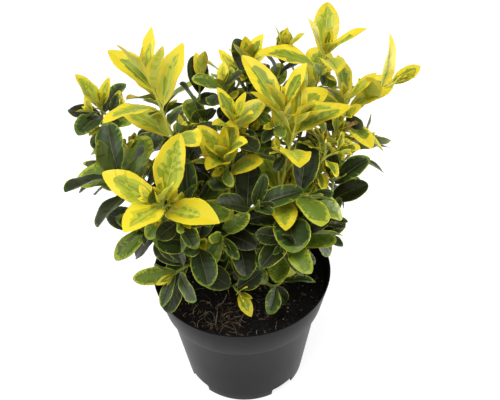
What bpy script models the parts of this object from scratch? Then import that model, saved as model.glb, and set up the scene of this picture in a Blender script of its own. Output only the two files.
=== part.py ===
"""Potted emerald gold wintercreeper: a low evergreen shrub in a round nursery pot.

A short stem stands on the potting soil. Boughs leave it, and each bears one mass of leafy
shoots. A shoot carries opposite pairs of leaves, each pair turned a quarter against the last.
Metres, +Z up, origin in the middle of the pot's flat underside, the front of the plant at -Y.
"""

import math
import random
from dataclasses import dataclass

import bmesh
import bpy
from mathutils import Matrix, Vector
from mathutils.bvhtree import BVHTree
from mathutils.geometry import interpolate_bezier

# Clearance between solids that touch on the real plant
GAP = 0.0003

# The pot: a tapered body under a wider band
POT_HEIGHT = 0.131
RIM_RADIUS = 0.085
BAND_HEIGHT = 0.035
BAND_FOOT_RADIUS = 0.0782
SHOULDER_DROP = 0.003
BODY_TOP_RADIUS = 0.0735
BASE_RADIUS = 0.0596
WALL = 0.0018
FLOOR = 0.0025
FLOOR_DISC_RADIUS = 0.046
GUTTER_RISE = 0.005
POT_SIDES = 40

# The drain notches in the foot of the wall
NOTCH_AZIMUTHS = (37, 127, 217, 307)
NOTCH_WIDTH = 0.026
NOTCH_HEIGHT = 0.0085
NOTCH_INNER_RADIUS = 0.051

# The potting soil, and the level of the ground under the stem
GROUND = 0.120
SOIL_EDGE_DROP = 0.003
SOIL_CROWN_RADIUS = 0.020
SOIL_SIDES = 24

# The short main stem
STEM_HEIGHT = 0.036
STEM_SHAPE = ((0.0, 0.0095), (0.08, 0.0078), (0.25, 0.0062), (0.6, 0.0054), (1.0, 0.0042))
STEM_LEAN = math.radians(6)
STEM_SIDES = 10

# Boughs and twigs
BOUGH_RADIUS = 0.0018
BOUGH_END_RADIUS = 0.0013
BOUGH_SIDES = 6
BOUGH_POINTS = 4
END_RING = 0.001
SHOOT_RADIUS = 0.0012
TIP_RADIUS = 0.0008
TWIG_SIDES = 3
SHOOT_POINTS = 4
LEAFLESS_FOOT = 0.005

# Distances between the leaf pairs of a shoot from its tip down, where the longest leaf is LEAF_NORM
LEAF_NORM = 0.050
INTERNODES = (0.001, 0.003, 0.006, 0.012, 0.019, 0.022, 0.022, 0.022, 0.022)

# Pair by pair from the tip: share of the longest leaf, angle off the stem, bend down, width
PAIR_LENGTH = (0.44, 0.74, 0.98, 1.00, 0.94, 0.86, 0.80, 0.76, 0.72)
PAIR_SPREAD = (16, 30, 47, 60, 70, 78, 84, 88, 90)
PAIR_CURL = (4, 12, 22, 30, 32, 34, 36, 38, 40)
PAIR_ASPECT = (0.34, 0.37, 0.41, 0.45, 0.51, 0.57, 0.58, 0.58, 0.58)

# The blade
LEAF_THICKNESS = 1 / 55
LEAF_FOLD = math.radians(12)
FOOT_POWER = 0.80
TIP_POWER = 0.62
LIGHT_TURN = 0.45
LEAF_SIDES = 6
SMALL_LEAF = 0.024
SMALL_LEAF_SIDES = 4

# The youngest pairs are still folded round the bud, so the shoot's own tip stands for them
BUD_PAIRS = 1

# Side twigs that the rule adds in the leaf axils
TWIG_CHANCE = 0.18
TWIG_LENGTH = 0.020
TWIG_LEAF = 0.55
TWIG_PAIRS = 3

# What a leaf that touches something tries before it is left out: turn, change of spread, size
SECOND_TRIES = ((0, 0, 1.0), (14, 0, 1.0), (-14, 0, 1.0), (0, -14, 0.95), (0, 14, 0.95), (0, 0, 0.8))
TEST_SWELL = 1.05
TEST_THICKNESS = 0.0016

FRONT = Vector((0, -1, 0))
UP = Vector((0, 0, 1))


@dataclass
class Shoot:
    """A leafy shoot, whose tip stands at azimuth, reach and height above the ground.

    Azimuths are degrees from the front towards +X. lean is the tip's angle off plumb, towards
    heading. leaf is its longest leaf, pairs its leaf pairs and gold how many of them are young
    and golden. roll turns its top pair, spread opens the pairs, stretch lengthens the
    internodes and wide broadens the leaves. seed picks its dice. It leaves the main stem, or
    the shoot that it is a side of, at the share at of that limb's length. fallen lists the
    places, two to a pair, where the leaf has dropped.
    """

    name: str
    azimuth: float
    reach: float
    height: float
    lean: float
    heading: float
    leaf: float
    pairs: int = 6
    gold: int = 3
    roll: float = 0.0
    spread: float = 1.0
    stretch: float = 1.0
    wide: float = 1.1
    seed: int = 0
    at: float = 0.5
    sides: tuple = ()
    fallen: tuple = ()


MASSES = (
    Shoot("left_tall", -79, 0.067, 0.240, 25, -131, 0.058, 7, 5, 140, 0.70, 1.23, 0.92, 0, at=0.93),
    Shoot("front_left", -36, 0.100, 0.173, 17, -2, 0.059, 4, 4, 56, 0.81, 0.79, 0.98, 34,
          at=0.74, fallen=(2,)),
    Shoot("right_inner", 70, 0.052, 0.194, 23, 130, 0.060, 7, 6, 5, 0.95, 1.00, 0.90, 0, at=0.95, sides=(
        Shoot("upper", 74, 0.040, 0.204, 23, 22, 0.060, 4, 4, 137, 0.92, 0.98, 0.90,
              at=0.35, fallen=(7,)),
    )),
    Shoot("back_right_tall", 123, 0.093, 0.215, 14, 34, 0.060, 7, 5, 86, 1.00, 0.76, 0.95, 0, at=0.82),
    Shoot("right_far", 110, 0.150, 0.182, 65, 101, 0.052, 6, 5, 138, 0.72, 1.53, 1.02, 12,
          at=0.62, fallen=(2, 4), sides=(
        Shoot("inner", 107, 0.100, 0.181, 20, -34, 0.048, 5, 5, 111, 0.94, 0.60, 0.91,
              at=0.05, fallen=(2, 4)),
    )),
    Shoot("centre", -16, 0.035, 0.176, 18, -20, 0.044, 7, 5, 154, 0.45, 0.75, 1.00, 34, at=0.90, sides=(
        Shoot("upper", -1, 0.021, 0.201, 20, 10, 0.035, 5, 4, 133, 0.65, 0.87, 1.05,
              at=0.25, fallen=(8,)),
    )),
    Shoot("left_far", -108, 0.120, 0.180, 12, 60, 0.039, 7, 3, 149, 0.81, 0.72, 1.12, 20,
          at=0.66, fallen=(4, 10, 12)),
    Shoot("back_centre", 170, 0.073, 0.195, 2, 80, 0.037, 7, 3, 27, 0.42, 1.05, 1.28, 17,
          at=0.86, sides=(
        Shoot("inner", -169, 0.048, 0.190, 22, 145, 0.029, 6, 2, 164, 0.93, 0.86, 1.35, at=0.10),
        Shoot("upper", 148, 0.079, 0.210, 13, -91, 0.032, 6, 3, 176, 0.37, 1.06, 1.05, at=0.20),
    )),
    Shoot("back_left", -153, 0.064, 0.191, 30, 167, 0.038, 7, 2, 27, 0.32, 1.00, 1.21, 57,
          at=0.80, fallen=(5, 6)),
    Shoot("left_mid", -82, 0.103, 0.146, 39, -105, 0.055, 6, 0, 64, 0.76, 0.50, 1.28, 16,
          at=0.50, fallen=(2, 10)),
    Shoot("left_low", -66, 0.086, 0.102, 65, -25, 0.045, 6, 0, 22, 1.03, 0.67, 1.06, 26, at=0.26),
    Shoot("left_inner", -45, 0.062, 0.134, 35, -30, 0.046, 7, 0, 65, 0.95, 0.80, 1.10, 0, at=0.57),
    Shoot("front_rim", -39, 0.090, 0.080, 88, -39, 0.044, 5, 1, 114, 1.10, 0.68, 1.00, 0, at=0.33),
    Shoot("front", -12, 0.069, 0.114, 90, 10, 0.041, 5, 0, 63, 0.83, 1.67, 1.01, 19, at=0.43, sides=(
        Shoot("upper", 14, 0.055, 0.137, 50, 40, 0.047, 6, 0, 20, 1.00, 0.90, 1.10, at=0.05),
    )),
    Shoot("front_right", 30, 0.073, 0.105, 81, -23, 0.043, 5, 0, 123, 0.83, 1.17, 1.04, 55,
          at=0.38, fallen=(2,), sides=(
        Shoot("upper", 53, 0.072, 0.138, 95, 83, 0.051, 6, 0, 98, 0.98, 0.83, 1.28,
              at=0.05, fallen=(2, 3, 8)),
    )),
    Shoot("right_low", 65, 0.073, 0.088, 86, 115, 0.042, 5, 0, 92, 0.73, 1.45, 1.02, 29,
          at=0.28, fallen=(2,)),
    Shoot("right_mid", 77, 0.082, 0.131, 24, -25, 0.045, 7, 1, 21, 0.75, 0.93, 1.12, 47,
          at=0.46, fallen=(6,)),
    Shoot("right_curly", 82, 0.076, 0.169, 22, 74, 0.027, 8, 6, 167, 1.07, 1.28, 1.00, 13,
          at=0.72, fallen=(3, 10), sides=(
        Shoot("outer", 95, 0.087, 0.163, 28, 79, 0.027, 6, 6, 91, 0.96, 0.85, 1.10, at=0.30),
        Shoot("facing", 76, 0.087, 0.164, 84, 86, 0.027, 6, 4, 26, 1.01, 1.26, 1.00, at=0.15),
    )),
    Shoot("sprig_front", -3, 0.057, 0.038, 80, 33, 0.034, 4, 2, 62, 1.24, 1.17, 1.21, 56,
          at=0.13, fallen=(4, 6)),
    Shoot("sprig_right", 43, 0.056, 0.040, 59, 148, 0.032, 5, 2, 168, 1.03, 1.02, 1.10, 5, at=0.20),
    Shoot("rear_high", 180, 0.100, 0.167, 25, 180, 0.046, 7, 3, 30, 0.95, 0.90, 1.10, 0, at=0.64),
    Shoot("rear_left", -139, 0.113, 0.157, 35, -139, 0.046, 7, 3, 70, 0.95, 0.90, 1.10, 0, at=0.54),
    Shoot("rear_right", 146, 0.126, 0.142, 45, 146, 0.046, 7, 2, 10, 0.95, 0.90, 1.10, 0, at=0.52),
    Shoot("rear_low_left", -156, 0.115, 0.087, 80, -156, 0.042, 6, 0, 50, 1.00, 0.90, 1.10, 0, at=0.36),
    Shoot("rear_low_right", 153, 0.118, 0.082, 80, 153, 0.042, 6, 0, 20, 1.00, 0.90, 1.10, 0, at=0.34),
    Shoot("rear_far_right", 117, 0.132, 0.107, 65, 117, 0.044, 6, 1, 75, 1.00, 0.90, 1.10, 0, at=0.42),
    Shoot("rear_far_left", -112, 0.128, 0.100, 70, -112, 0.044, 6, 0, 15, 1.00, 0.90, 1.10, 0, at=0.36),
)


def compass(azimuth, reach, height=0.0):
    """The place at this azimuth and reach from the pot's axis."""
    turn = math.radians(azimuth)
    return Vector((reach * math.sin(turn), -reach * math.cos(turn), height))


class Limb:
    """A round limb: points along its middle, and its radius at each."""

    def __init__(self, points, radii):
        self.points = [Vector(p) for p in points]
        self.radii = list(radii)
        self.marks = [0.0]
        for a, b in zip(self.points, self.points[1:]):
            self.marks.append(self.marks[-1] + (b - a).length)
        self.length = self.marks[-1]

    def spot(self, distance):
        """Point, direction and radius at this distance along the limb."""
        distance = min(max(distance, 0.0), self.length)
        last = len(self.points) - 2
        i = next((k for k in range(last) if self.marks[k + 1] >= distance), last)
        a, b = self.points[i], self.points[i + 1]
        share = (distance - self.marks[i]) / (self.marks[i + 1] - self.marks[i])
        radius = self.radii[i] + share * (self.radii[i + 1] - self.radii[i])
        return a.lerp(b, share), (b - a).normalized(), radius

    def stretch(self, start, end, count, radius, end_radius):
        """A limb along this one from start to end, with its own number of points and taper.

        Its second and last but one points lie close to its ends, so that it ends square.
        """
        close = END_RING / (end - start)
        shares = [0.0, close] + [i / (count - 1) for i in range(1, count - 1)] + [1 - close, 1.0]
        points = [self.spot(start + s * (end - start))[0] for s in shares]
        return Limb(points, [radius + s * (end_radius - radius) for s in shares])


def main_stem():
    """The short leaning stem, whose foot is cut flat on the ground."""
    points = []
    for share, _ in STEM_SHAPE:
        lean = STEM_HEIGHT * math.tan(STEM_LEAN) * max(0.0, share - STEM_SHAPE[1][0])
        points.append((lean, 0.0, GROUND + GAP + share * STEM_HEIGHT))
    return Limb(points, [radius for _, radius in STEM_SHAPE])


def way_to_tip(parent, shoot, tip, radius, sunk=False):
    """The smooth line from the parent limb to a shoot's tip."""
    point, along, parent_radius = parent.spot(shoot.at * parent.length)
    outward = tip - point
    outward = (outward - along * outward.dot(along)).normalized()
    rise = 0.75 * math.asin((tip - point).normalized().dot(along)) + math.radians(5)
    go = outward * math.cos(rise) + along * math.sin(rise)
    clear = 0.0 if sunk else parent_radius + GAP + radius * abs(math.sin(rise))
    start = point + outward * clear
    turn = math.radians(shoot.lean)
    arrive = compass(shoot.heading, math.sin(turn), math.cos(turn))
    span = (tip - start).length
    points = interpolate_bezier(
        start, start + go * span * 0.40, tip - arrive * span * 0.35, tip, 17
    )
    return Limb(points, [radius] * len(points))


@dataclass
class Leaf:
    """A blade: where its foot is, the ways it points and faces, and its size."""

    foot: Vector
    ahead: Vector
    face: Vector
    length: float
    half_width: float
    curl: float
    fold: float
    pair: int
    gold: bool

    def place(self, along, across, lift=0.0):
        """A point of the blade: along from foot 0 to tip 1, across from edge -1 to edge 1."""
        outline = along**FOOT_POWER * (1 - along) ** TIP_POWER / OUTLINE_PEAK
        half = self.half_width * outline
        bend = self.curl * along
        forward = self.length * math.sin(bend) / self.curl
        drop = self.length * (1 - math.cos(bend)) / self.curl
        rise = half * abs(across) * math.sin(self.fold) + lift
        side = self.face.cross(self.ahead)
        return (
            self.foot
            + self.ahead * (forward + rise * math.sin(bend))
            + side * (half * across * math.cos(self.fold))
            + self.face * (rise * math.cos(bend) - drop)
        )


WIDEST = FOOT_POWER / (FOOT_POWER + TIP_POWER)
OUTLINE_PEAK = WIDEST**FOOT_POWER * (1 - WIDEST) ** TIP_POWER


def leaf_at(spot, around, spread, length, wide, pair, gold, dice):
    """A leaf of this pair, at this turn round the stem and angle off it."""
    point, along, radius = spot
    across = along.cross(FRONT).normalized()
    turn = math.radians(around + dice.gauss(0, 5))
    out = across * math.cos(turn) + along.cross(across) * math.sin(turn)
    off = math.radians(spread + dice.gauss(0, 4))
    ahead = along * math.cos(off) + out * math.sin(off)
    face = along * math.sin(off) - out * math.cos(off)
    face = face + UP * LIGHT_TURN
    face = (face - ahead * face.dot(ahead)).normalized()
    long = length * dice.uniform(0.92, 1.05)
    return Leaf(
        foot=point - ahead * radius / 2,
        ahead=ahead,
        face=face,
        length=long,
        half_width=long * wide * PAIR_ASPECT[pair] / 2 * dice.uniform(0.92, 1.08),
        curl=math.radians(max(2.0, PAIR_CURL[pair] + dice.gauss(0, 6))),
        fold=LEAF_FOLD * dice.uniform(0.6, 1.5),
        pair=pair,
        gold=gold,
    )


def blade_points(leaf, swell=1.0, thickness=None):
    """The corners and faces of the leaf's plain solid: a flattened ball of a few sides."""
    ball = bmesh.new()
    sides = SMALL_LEAF_SIDES if leaf.length < SMALL_LEAF else LEAF_SIDES
    bmesh.ops.create_uvsphere(ball, u_segments=sides, v_segments=2, radius=1.0)
    thick = thickness or leaf.length * LEAF_THICKNESS
    for corner in ball.verts:
        x, y, z = corner.co
        along = min(max((1 + y * swell) / 2, 0.0), 1.0)
        across = 0.0 if abs(x) < 0.1 else math.copysign(swell, -x)
        corner.co = leaf.place(along, across, z * thick / 2)
    ball.normal_update()
    return ball


def test_tree(leaf):
    """The leaf, a little swollen, as a tree to look for touches with."""
    ball = blade_points(leaf, TEST_SWELL, TEST_THICKNESS)
    tree = BVHTree.FromBMesh(ball)
    ball.free()
    return tree


def limb_tree(limb, swell=GAP):
    """A limb as a square tube, a little swollen, to look for touches with."""
    tube = bmesh.new()
    for i in range(len(limb.points) - 1):
        a, b = limb.points[i], limb.points[i + 1]
        middle = Matrix.Translation((a + b) / 2)
        turn = (b - a).to_track_quat("Z", "Y").to_matrix().to_4x4()
        bmesh.ops.create_cone(
            tube,
            cap_ends=True,
            segments=TWIG_SIDES * 2,
            radius1=limb.radii[i] + swell,
            radius2=limb.radii[i + 1] + swell,
            depth=(b - a).length,
            matrix=middle @ turn,
        )
    tree = BVHTree.FromBMesh(tube)
    tube.free()
    return tree


class Space:
    """What already stands in the crown, by owner, so that a mass keeps to its own space."""

    def __init__(self):
        self.taken = []

    def add(self, owner, tree):
        self.taken.append((owner, tree))

    def is_free(self, tree, owner):
        return not any(other != owner and tree.overlap(there) for other, there in self.taken)


def pair_marks(shoot):
    """Distances of the leaf pairs from the shoot's tip."""
    scale = shoot.stretch * shoot.leaf / LEAF_NORM
    marks, distance = [], 0.0
    for gap in INTERNODES[: shoot.pairs]:
        distance += gap * scale
        marks.append(distance)
    return marks


@dataclass
class Mass:
    """The limbs and leaves of one mass, and the bough under it."""

    shoot: Shoot
    bough: Limb
    lead: Limb
    twigs: list
    leafy: list
    leaves: list
    dice: random.Random


def grow_limbs(space):
    """The main stem, and every mass with its bough, its lead shoot and its side shoots."""
    stem = main_stem()
    space.add("stem", limb_tree(stem))
    masses = []
    for shoot in MASSES:
        tip = compass(shoot.azimuth, shoot.reach, GROUND + shoot.height)
        way = way_to_tip(stem, shoot, tip, BOUGH_RADIUS)
        leafy = pair_marks(shoot)[-1] + LEAFLESS_FOOT
        fork = max(way.length - leafy, way.length * 0.25)
        bough = way.stretch(0, fork, BOUGH_POINTS, BOUGH_RADIUS, BOUGH_END_RADIUS)
        lead = way.stretch(fork + GAP, way.length, SHOOT_POINTS, SHOOT_RADIUS, TIP_RADIUS)
        space.add(shoot.name + "_bough", limb_tree(bough))
        space.add(shoot.name, limb_tree(lead))
        dice = random.Random(f"{shoot.name} {shoot.seed}")
        masses.append(Mass(shoot, bough, lead, [], [(shoot, lead)], [], dice))
    for mass in masses:
        for side in mass.shoot.sides:
            tip = compass(side.azimuth, side.reach, GROUND + side.height)
            way = way_to_tip(mass.lead, side, tip, SHOOT_RADIUS, sunk=True)
            add_twig(space, mass, side, way)
    return stem, masses


def add_twig(space, mass, shoot, way):
    """Adds a twig to a mass, unless it would touch another mass or a limb."""
    twig = way.stretch(0, way.length, SHOOT_POINTS - 1, SHOOT_RADIUS, TIP_RADIUS)
    tree = limb_tree(twig)
    if space.is_free(tree, mass.shoot.name):
        space.add(mass.shoot.name, tree)
        mass.twigs.append(twig)
        mass.leafy.append((shoot, twig))


def grow_twigs(space, mass):
    """Side twigs in some leaf axils of the lead shoot, by the mass's dice."""
    shoot = mass.shoot
    for pair, mark in enumerate(pair_marks(shoot)):
        if pair < 3 or mass.dice.random() > TWIG_CHANCE:
            continue
        point, along, _ = mass.lead.spot(mass.lead.length - mark)
        across = along.cross(FRONT).normalized()
        turn = math.radians(shoot.roll + 90 * pair + mass.dice.choice((0, 180)))
        out = across * math.cos(turn) + along.cross(across) * math.sin(turn)
        tip = point + (out + along * 0.8 + UP * 0.3).normalized() * TWIG_LENGTH
        side = Shoot(
            "twig", 0, 0, 0, 0, 0, shoot.leaf * TWIG_LEAF, TWIG_PAIRS,
            gold=max(0, shoot.gold - pair + 2), roll=mass.dice.uniform(0, 180), wide=1.0,
        )
        add_twig(space, mass, side, Limb([point, point.lerp(tip, 0.5), tip], [SHOOT_RADIUS] * 3))


def grow_pair(space, mass, shoot, limb, pair, mark):
    """Two opposite leaves, each left out where it finds no room."""
    spot = limb.spot(limb.length - mark)
    around = shoot.roll + 90 * pair
    length = shoot.leaf * PAIR_LENGTH[pair]
    for half in (0, 180):
        if 2 * pair + half // 180 in shoot.fallen:
            continue
        state = mass.dice.getstate()
        for turn, open_more, size in SECOND_TRIES:
            mass.dice.setstate(state)
            leaf = leaf_at(
                spot,
                around + half + turn,
                PAIR_SPREAD[pair] * shoot.spread + open_more,
                length * size,
                shoot.wide,
                pair,
                pair < shoot.gold,
                mass.dice,
            )
            tree = test_tree(leaf)
            if space.is_free(tree, mass.shoot.name):
                space.add(mass.shoot.name, tree)
                mass.leaves.append(leaf)
                break


def grow_leaves(space, masses):
    """All leaves, the young pairs of every mass first."""
    for mass in masses:
        grow_twigs(space, mass)
    for pair in range(BUD_PAIRS, len(INTERNODES)):
        for mass in masses:
            for shoot, limb in mass.leafy:
                marks = pair_marks(shoot)
                if pair < len(marks) and marks[pair] < limb.length:
                    grow_pair(space, mass, shoot, limb, pair, marks[pair])


def paint(name, colour, roughness):
    """A plain material."""
    material = bpy.data.materials.new(name)
    material.use_nodes = True
    shader = material.node_tree.nodes["Principled BSDF"]
    shader.inputs["Base Color"].default_value = (*colour, 1.0)
    shader.inputs["Roughness"].default_value = roughness
    shader.inputs["Metallic"].default_value = 0.0
    material.diffuse_color = (*colour, 1.0)
    return material


def new_object(name, mesh, collection, material=None):
    thing = bpy.data.objects.new(name, mesh)
    collection.objects.link(thing)
    if material:
        mesh.materials.clear()
        mesh.materials.append(material)
    return thing


def evaluated(thing):
    """The mesh that the object's modifiers give."""
    graph = bpy.context.evaluated_depsgraph_get()
    mesh = bpy.data.meshes.new_from_object(thing.evaluated_get(graph))
    mesh.name = thing.name
    return mesh


def weld(mesh, distance=1e-6):
    """Joins corners that lie on one another."""
    welded = bmesh.new()
    welded.from_mesh(mesh)
    bmesh.ops.remove_doubles(welded, verts=welded.verts, dist=distance)
    welded.to_mesh(mesh)
    welded.free()
    return mesh


def turned(name, profile, sides, collection, material):
    """A solid of revolution about Z. Its profile comes up the inside and down the outside."""
    mesh = bpy.data.meshes.new(name)
    mesh.from_pydata(
        [(radius, 0.0, height) for radius, height in profile],
        [(i, i + 1) for i in range(len(profile) - 1)],
        [],
    )
    thing = new_object(name, mesh, collection)
    screw = thing.modifiers.new("turn", "SCREW")
    screw.axis = "Z"
    screw.angle = math.tau
    screw.steps = screw.render_steps = sides
    screw.use_merge_vertices = True
    screw.merge_threshold = 1e-5
    solid = weld(evaluated(thing))
    thing.modifiers.clear()
    thing.data = solid
    solid.materials.append(material)
    bpy.data.meshes.remove(mesh)
    return thing


def inner_radius(height):
    """The pot's radius inside its wall at this height."""
    foot = GUTTER_RISE
    shoulder = POT_HEIGHT - BAND_HEIGHT - SHOULDER_DROP
    if height < shoulder:
        share = (height - foot) / (shoulder - foot)
        return BASE_RADIUS + share * (BODY_TOP_RADIUS - BASE_RADIUS) - WALL
    share = max((height - shoulder - SHOULDER_DROP) / BAND_HEIGHT, 0.0)
    return BAND_FOOT_RADIUS + share * (RIM_RADIUS - BAND_FOOT_RADIUS) - WALL


def make_pot(collection, cutters, material):
    """The pot: rim, wider band, tapered body, ringed foot with four drain notches."""
    band_foot = POT_HEIGHT - BAND_HEIGHT
    shoulder = band_foot - SHOULDER_DROP
    step = WALL / 2
    floor_top = FLOOR + GUTTER_RISE
    profile = [
        (0.0, FLOOR),
        (FLOOR_DISC_RADIUS, FLOOR),
        (FLOOR_DISC_RADIUS + 0.002, floor_top),
        (inner_radius(floor_top), floor_top),
        (BODY_TOP_RADIUS - WALL, shoulder + step),
        (BAND_FOOT_RADIUS - WALL, band_foot + step),
        (RIM_RADIUS - WALL, POT_HEIGHT - 0.0004),
        (RIM_RADIUS - WALL + 0.0004, POT_HEIGHT),
        (RIM_RADIUS - 0.0004, POT_HEIGHT),
        (RIM_RADIUS, POT_HEIGHT - 0.0004),
        (BAND_FOOT_RADIUS, band_foot),
        (BODY_TOP_RADIUS, shoulder),
        (BASE_RADIUS, 0.0),
        (BASE_RADIUS - WALL, 0.0),
        (BASE_RADIUS - WALL, GUTTER_RISE),
        (FLOOR_DISC_RADIUS + 0.002, GUTTER_RISE),
        (FLOOR_DISC_RADIUS, 0.0),
        (0.0, 0.0),
    ]
    pot = turned("pot", profile, POT_SIDES, collection, material)
    deep = RIM_RADIUS - NOTCH_INNER_RADIUS
    for azimuth in NOTCH_AZIMUTHS:
        bpy.ops.mesh.primitive_cube_add(size=1.0)
        cutter = bpy.context.active_object
        cutter.name = f"notch_{azimuth}"
        cutter.scale = (NOTCH_WIDTH, deep, 2 * NOTCH_HEIGHT)
        cutter.location = compass(azimuth, NOTCH_INNER_RADIUS + deep / 2)
        cutter.rotation_euler.z = math.radians(azimuth)
        for home in cutter.users_collection:
            home.objects.unlink(cutter)
        cutters.objects.link(cutter)
        cutter.hide_render = True
        cutter.display_type = "WIRE"
    cut = pot.modifiers.new("drain notches", "BOOLEAN")
    cut.operation = "DIFFERENCE"
    cut.operand_type = "COLLECTION"
    cut.collection = cutters
    cut.solver = "EXACT"
    solid = evaluated(pot)
    pot.modifiers.clear()
    pot.data = solid
    return pot


def make_soil(collection, material):
    """The potting soil, clear of the pot all round, its top a little lower at the edge."""
    edge = GROUND - SOIL_EDGE_DROP
    band_foot = POT_HEIGHT - BAND_HEIGHT
    shoulder = band_foot - SHOULDER_DROP
    floor_top = FLOOR + GUTTER_RISE + GAP
    profile = [
        (0.0, GROUND),
        (SOIL_CROWN_RADIUS, GROUND),
        (inner_radius(edge) - GAP - 0.012, edge + 0.0006),
        (inner_radius(edge) - GAP, edge),
        (BAND_FOOT_RADIUS - WALL - GAP, band_foot + WALL / 2 + 2 * GAP),
        (BODY_TOP_RADIUS - WALL - GAP, shoulder + WALL / 2 + GAP),
        (inner_radius(floor_top) - GAP, floor_top),
        (FLOOR_DISC_RADIUS + 0.002 - GAP, floor_top),
        (FLOOR_DISC_RADIUS - GAP, FLOOR + GAP),
        (0.0, FLOOR + GAP),
    ]
    return turned("potting_soil", profile, SOIL_SIDES, collection, material)


def limb_mesh(name, limb, sides, hidden):
    """A limb as a closed tapered tube with flat ends."""
    curve = bpy.data.curves.new(name, "CURVE")
    curve.dimensions = "3D"
    curve.use_fill_caps = True
    spline = curve.splines.new("POLY")
    spline.points.add(len(limb.points) - 1)
    for knot, point, radius in zip(spline.points, limb.points, limb.radii):
        knot.co = (*point, 1.0)
        knot.radius = radius
    if sides == 3:
        curve.bevel_mode = "OBJECT"
        curve.bevel_object = triangle(hidden)
    else:
        curve.bevel_depth = 1.0
        curve.bevel_resolution = (sides - 4) // 2
    guide = new_object(name + "_line", curve, hidden)
    mesh = weld(evaluated(guide))
    mesh.name = name
    mesh.transform(guide.matrix_world)
    bpy.data.objects.remove(guide)
    bpy.data.curves.remove(curve)
    return mesh


def triangle(hidden):
    """The three-sided outline that twigs are swept with."""
    known = bpy.data.objects.get("twig_outline")
    if known:
        return known
    curve = bpy.data.curves.new("twig_outline", "CURVE")
    spline = curve.splines.new("POLY")
    spline.points.add(TWIG_SIDES - 1)
    for i, knot in enumerate(spline.points):
        turn = -math.tau * i / TWIG_SIDES
        knot.co = (math.cos(turn), math.sin(turn), 0.0, 1.0)
    spline.use_cyclic_u = True
    return new_object("twig_outline", curve, hidden)


def make_mass(mass, collection, hidden, material):
    """One mass: its shoots and leaves fused into a single solid."""
    name = "foliage_" + mass.shoot.name
    solid = new_object(name, limb_mesh(name, mass.lead, TWIG_SIDES, hidden), collection, material)
    pieces = bpy.data.collections.new(name + "_pieces")
    hidden.children.link(pieces)
    for i, twig in enumerate(mass.twigs):
        new_object(f"{name}_twig_{i}", limb_mesh("twig", twig, TWIG_SIDES, hidden), pieces)
    for i, leaf in enumerate(mass.leaves):
        ball = blade_points(leaf)
        mesh = bpy.data.meshes.new("leaf")
        ball.to_mesh(mesh)
        ball.free()
        new_object(f"{name}_leaf_{i}", mesh, pieces)
    union = solid.modifiers.new("leaves and twigs", "BOOLEAN")
    union.operation = "UNION"
    union.operand_type = "COLLECTION"
    union.collection = pieces
    union.solver = "EXACT"
    fused = evaluated(solid)
    solid.modifiers.clear()
    solid.data = fused
    fused.materials.clear()
    fused.materials.append(material)
    for piece in list(pieces.objects):
        bpy.data.objects.remove(piece)
    bpy.data.collections.remove(pieces)
    return solid


for old in list(bpy.data.objects):
    bpy.data.objects.remove(old)

plant = bpy.data.collections.new("Potted emerald gold wintercreeper")
helpers = bpy.data.collections.new("Helpers")
for new in (plant, helpers):
    bpy.context.scene.collection.children.link(new)

PLASTIC = paint("nursery_plastic", (0.030, 0.031, 0.033), 0.45)
PEAT = paint("peat", (0.022, 0.014, 0.010), 0.95)
BARK = paint("bark", (0.16, 0.12, 0.07), 0.85)
GREEN_BARK = paint("green_bark", (0.20, 0.24, 0.07), 0.70)
GOLD_LEAF = paint("gold_leaf", (0.72, 0.62, 0.06), 0.45)
GREEN_LEAF = paint("green_leaf", (0.035, 0.085, 0.020), 0.40)

make_pot(plant, helpers, PLASTIC)
make_soil(plant, PEAT)
crown = Space()
stem, masses = grow_limbs(crown)
grow_leaves(crown, masses)
new_object("main_stem", limb_mesh("main_stem", stem, STEM_SIDES, helpers), plant, BARK)
for mass in masses:
    bough = "bough_" + mass.shoot.name
    new_object(bough, limb_mesh(bough, mass.bough, BOUGH_SIDES, helpers), plant, GREEN_BARK)
    make_mass(mass, plant, helpers, GOLD_LEAF if mass.shoot.gold > 1 else GREEN_LEAF)
for helper in list(helpers.objects):
    bpy.data.objects.remove(helper)
for piece in plant.objects:
    print(piece.name, len(piece.data.polygons))
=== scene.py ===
# %% [markdown]
# # A potted emerald gold wintercreeper
#
# This file dresses the plain solids of a small evergreen shrub in a nursery pot. The solids
# give every size and place. Here the pot becomes satin plastic, the soil gets crumbs and
# fibres, the limbs get bark, and every mass of foliage is grown again as real leaves with
# green middles and golden margins. Lengths are metres and Z points up.

import math
import random
from dataclasses import dataclass, field, replace

import bmesh
import bpy
import numpy as np
from mathutils import Matrix, Vector, noise
from mathutils.bvhtree import BVHTree
from mathutils.geometry import interpolate_bezier


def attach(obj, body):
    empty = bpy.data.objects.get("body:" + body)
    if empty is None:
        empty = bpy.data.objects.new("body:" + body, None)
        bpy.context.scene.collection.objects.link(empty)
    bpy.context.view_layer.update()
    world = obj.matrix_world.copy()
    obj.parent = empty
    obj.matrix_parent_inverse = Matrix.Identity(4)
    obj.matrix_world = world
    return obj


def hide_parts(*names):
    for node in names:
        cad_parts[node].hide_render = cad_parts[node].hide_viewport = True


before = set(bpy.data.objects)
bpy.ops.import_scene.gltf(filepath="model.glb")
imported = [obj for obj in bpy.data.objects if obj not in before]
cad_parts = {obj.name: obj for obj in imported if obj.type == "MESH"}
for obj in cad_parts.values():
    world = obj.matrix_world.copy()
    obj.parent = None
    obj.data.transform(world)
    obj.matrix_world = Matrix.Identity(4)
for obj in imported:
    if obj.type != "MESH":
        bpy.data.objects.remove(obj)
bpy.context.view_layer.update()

# %% [markdown]
# ## The camera
#
# The photograph looks down on the plant at about 46 degrees. The camera's distance, tilt and
# lens were worked out from the pot, whose rim and foot are true circles of known size. It
# could be turned by eye until the picture fits, but a few measured values say it better: where
# the middle of the rim falls in the picture, and how far the picture is rolled.

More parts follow.
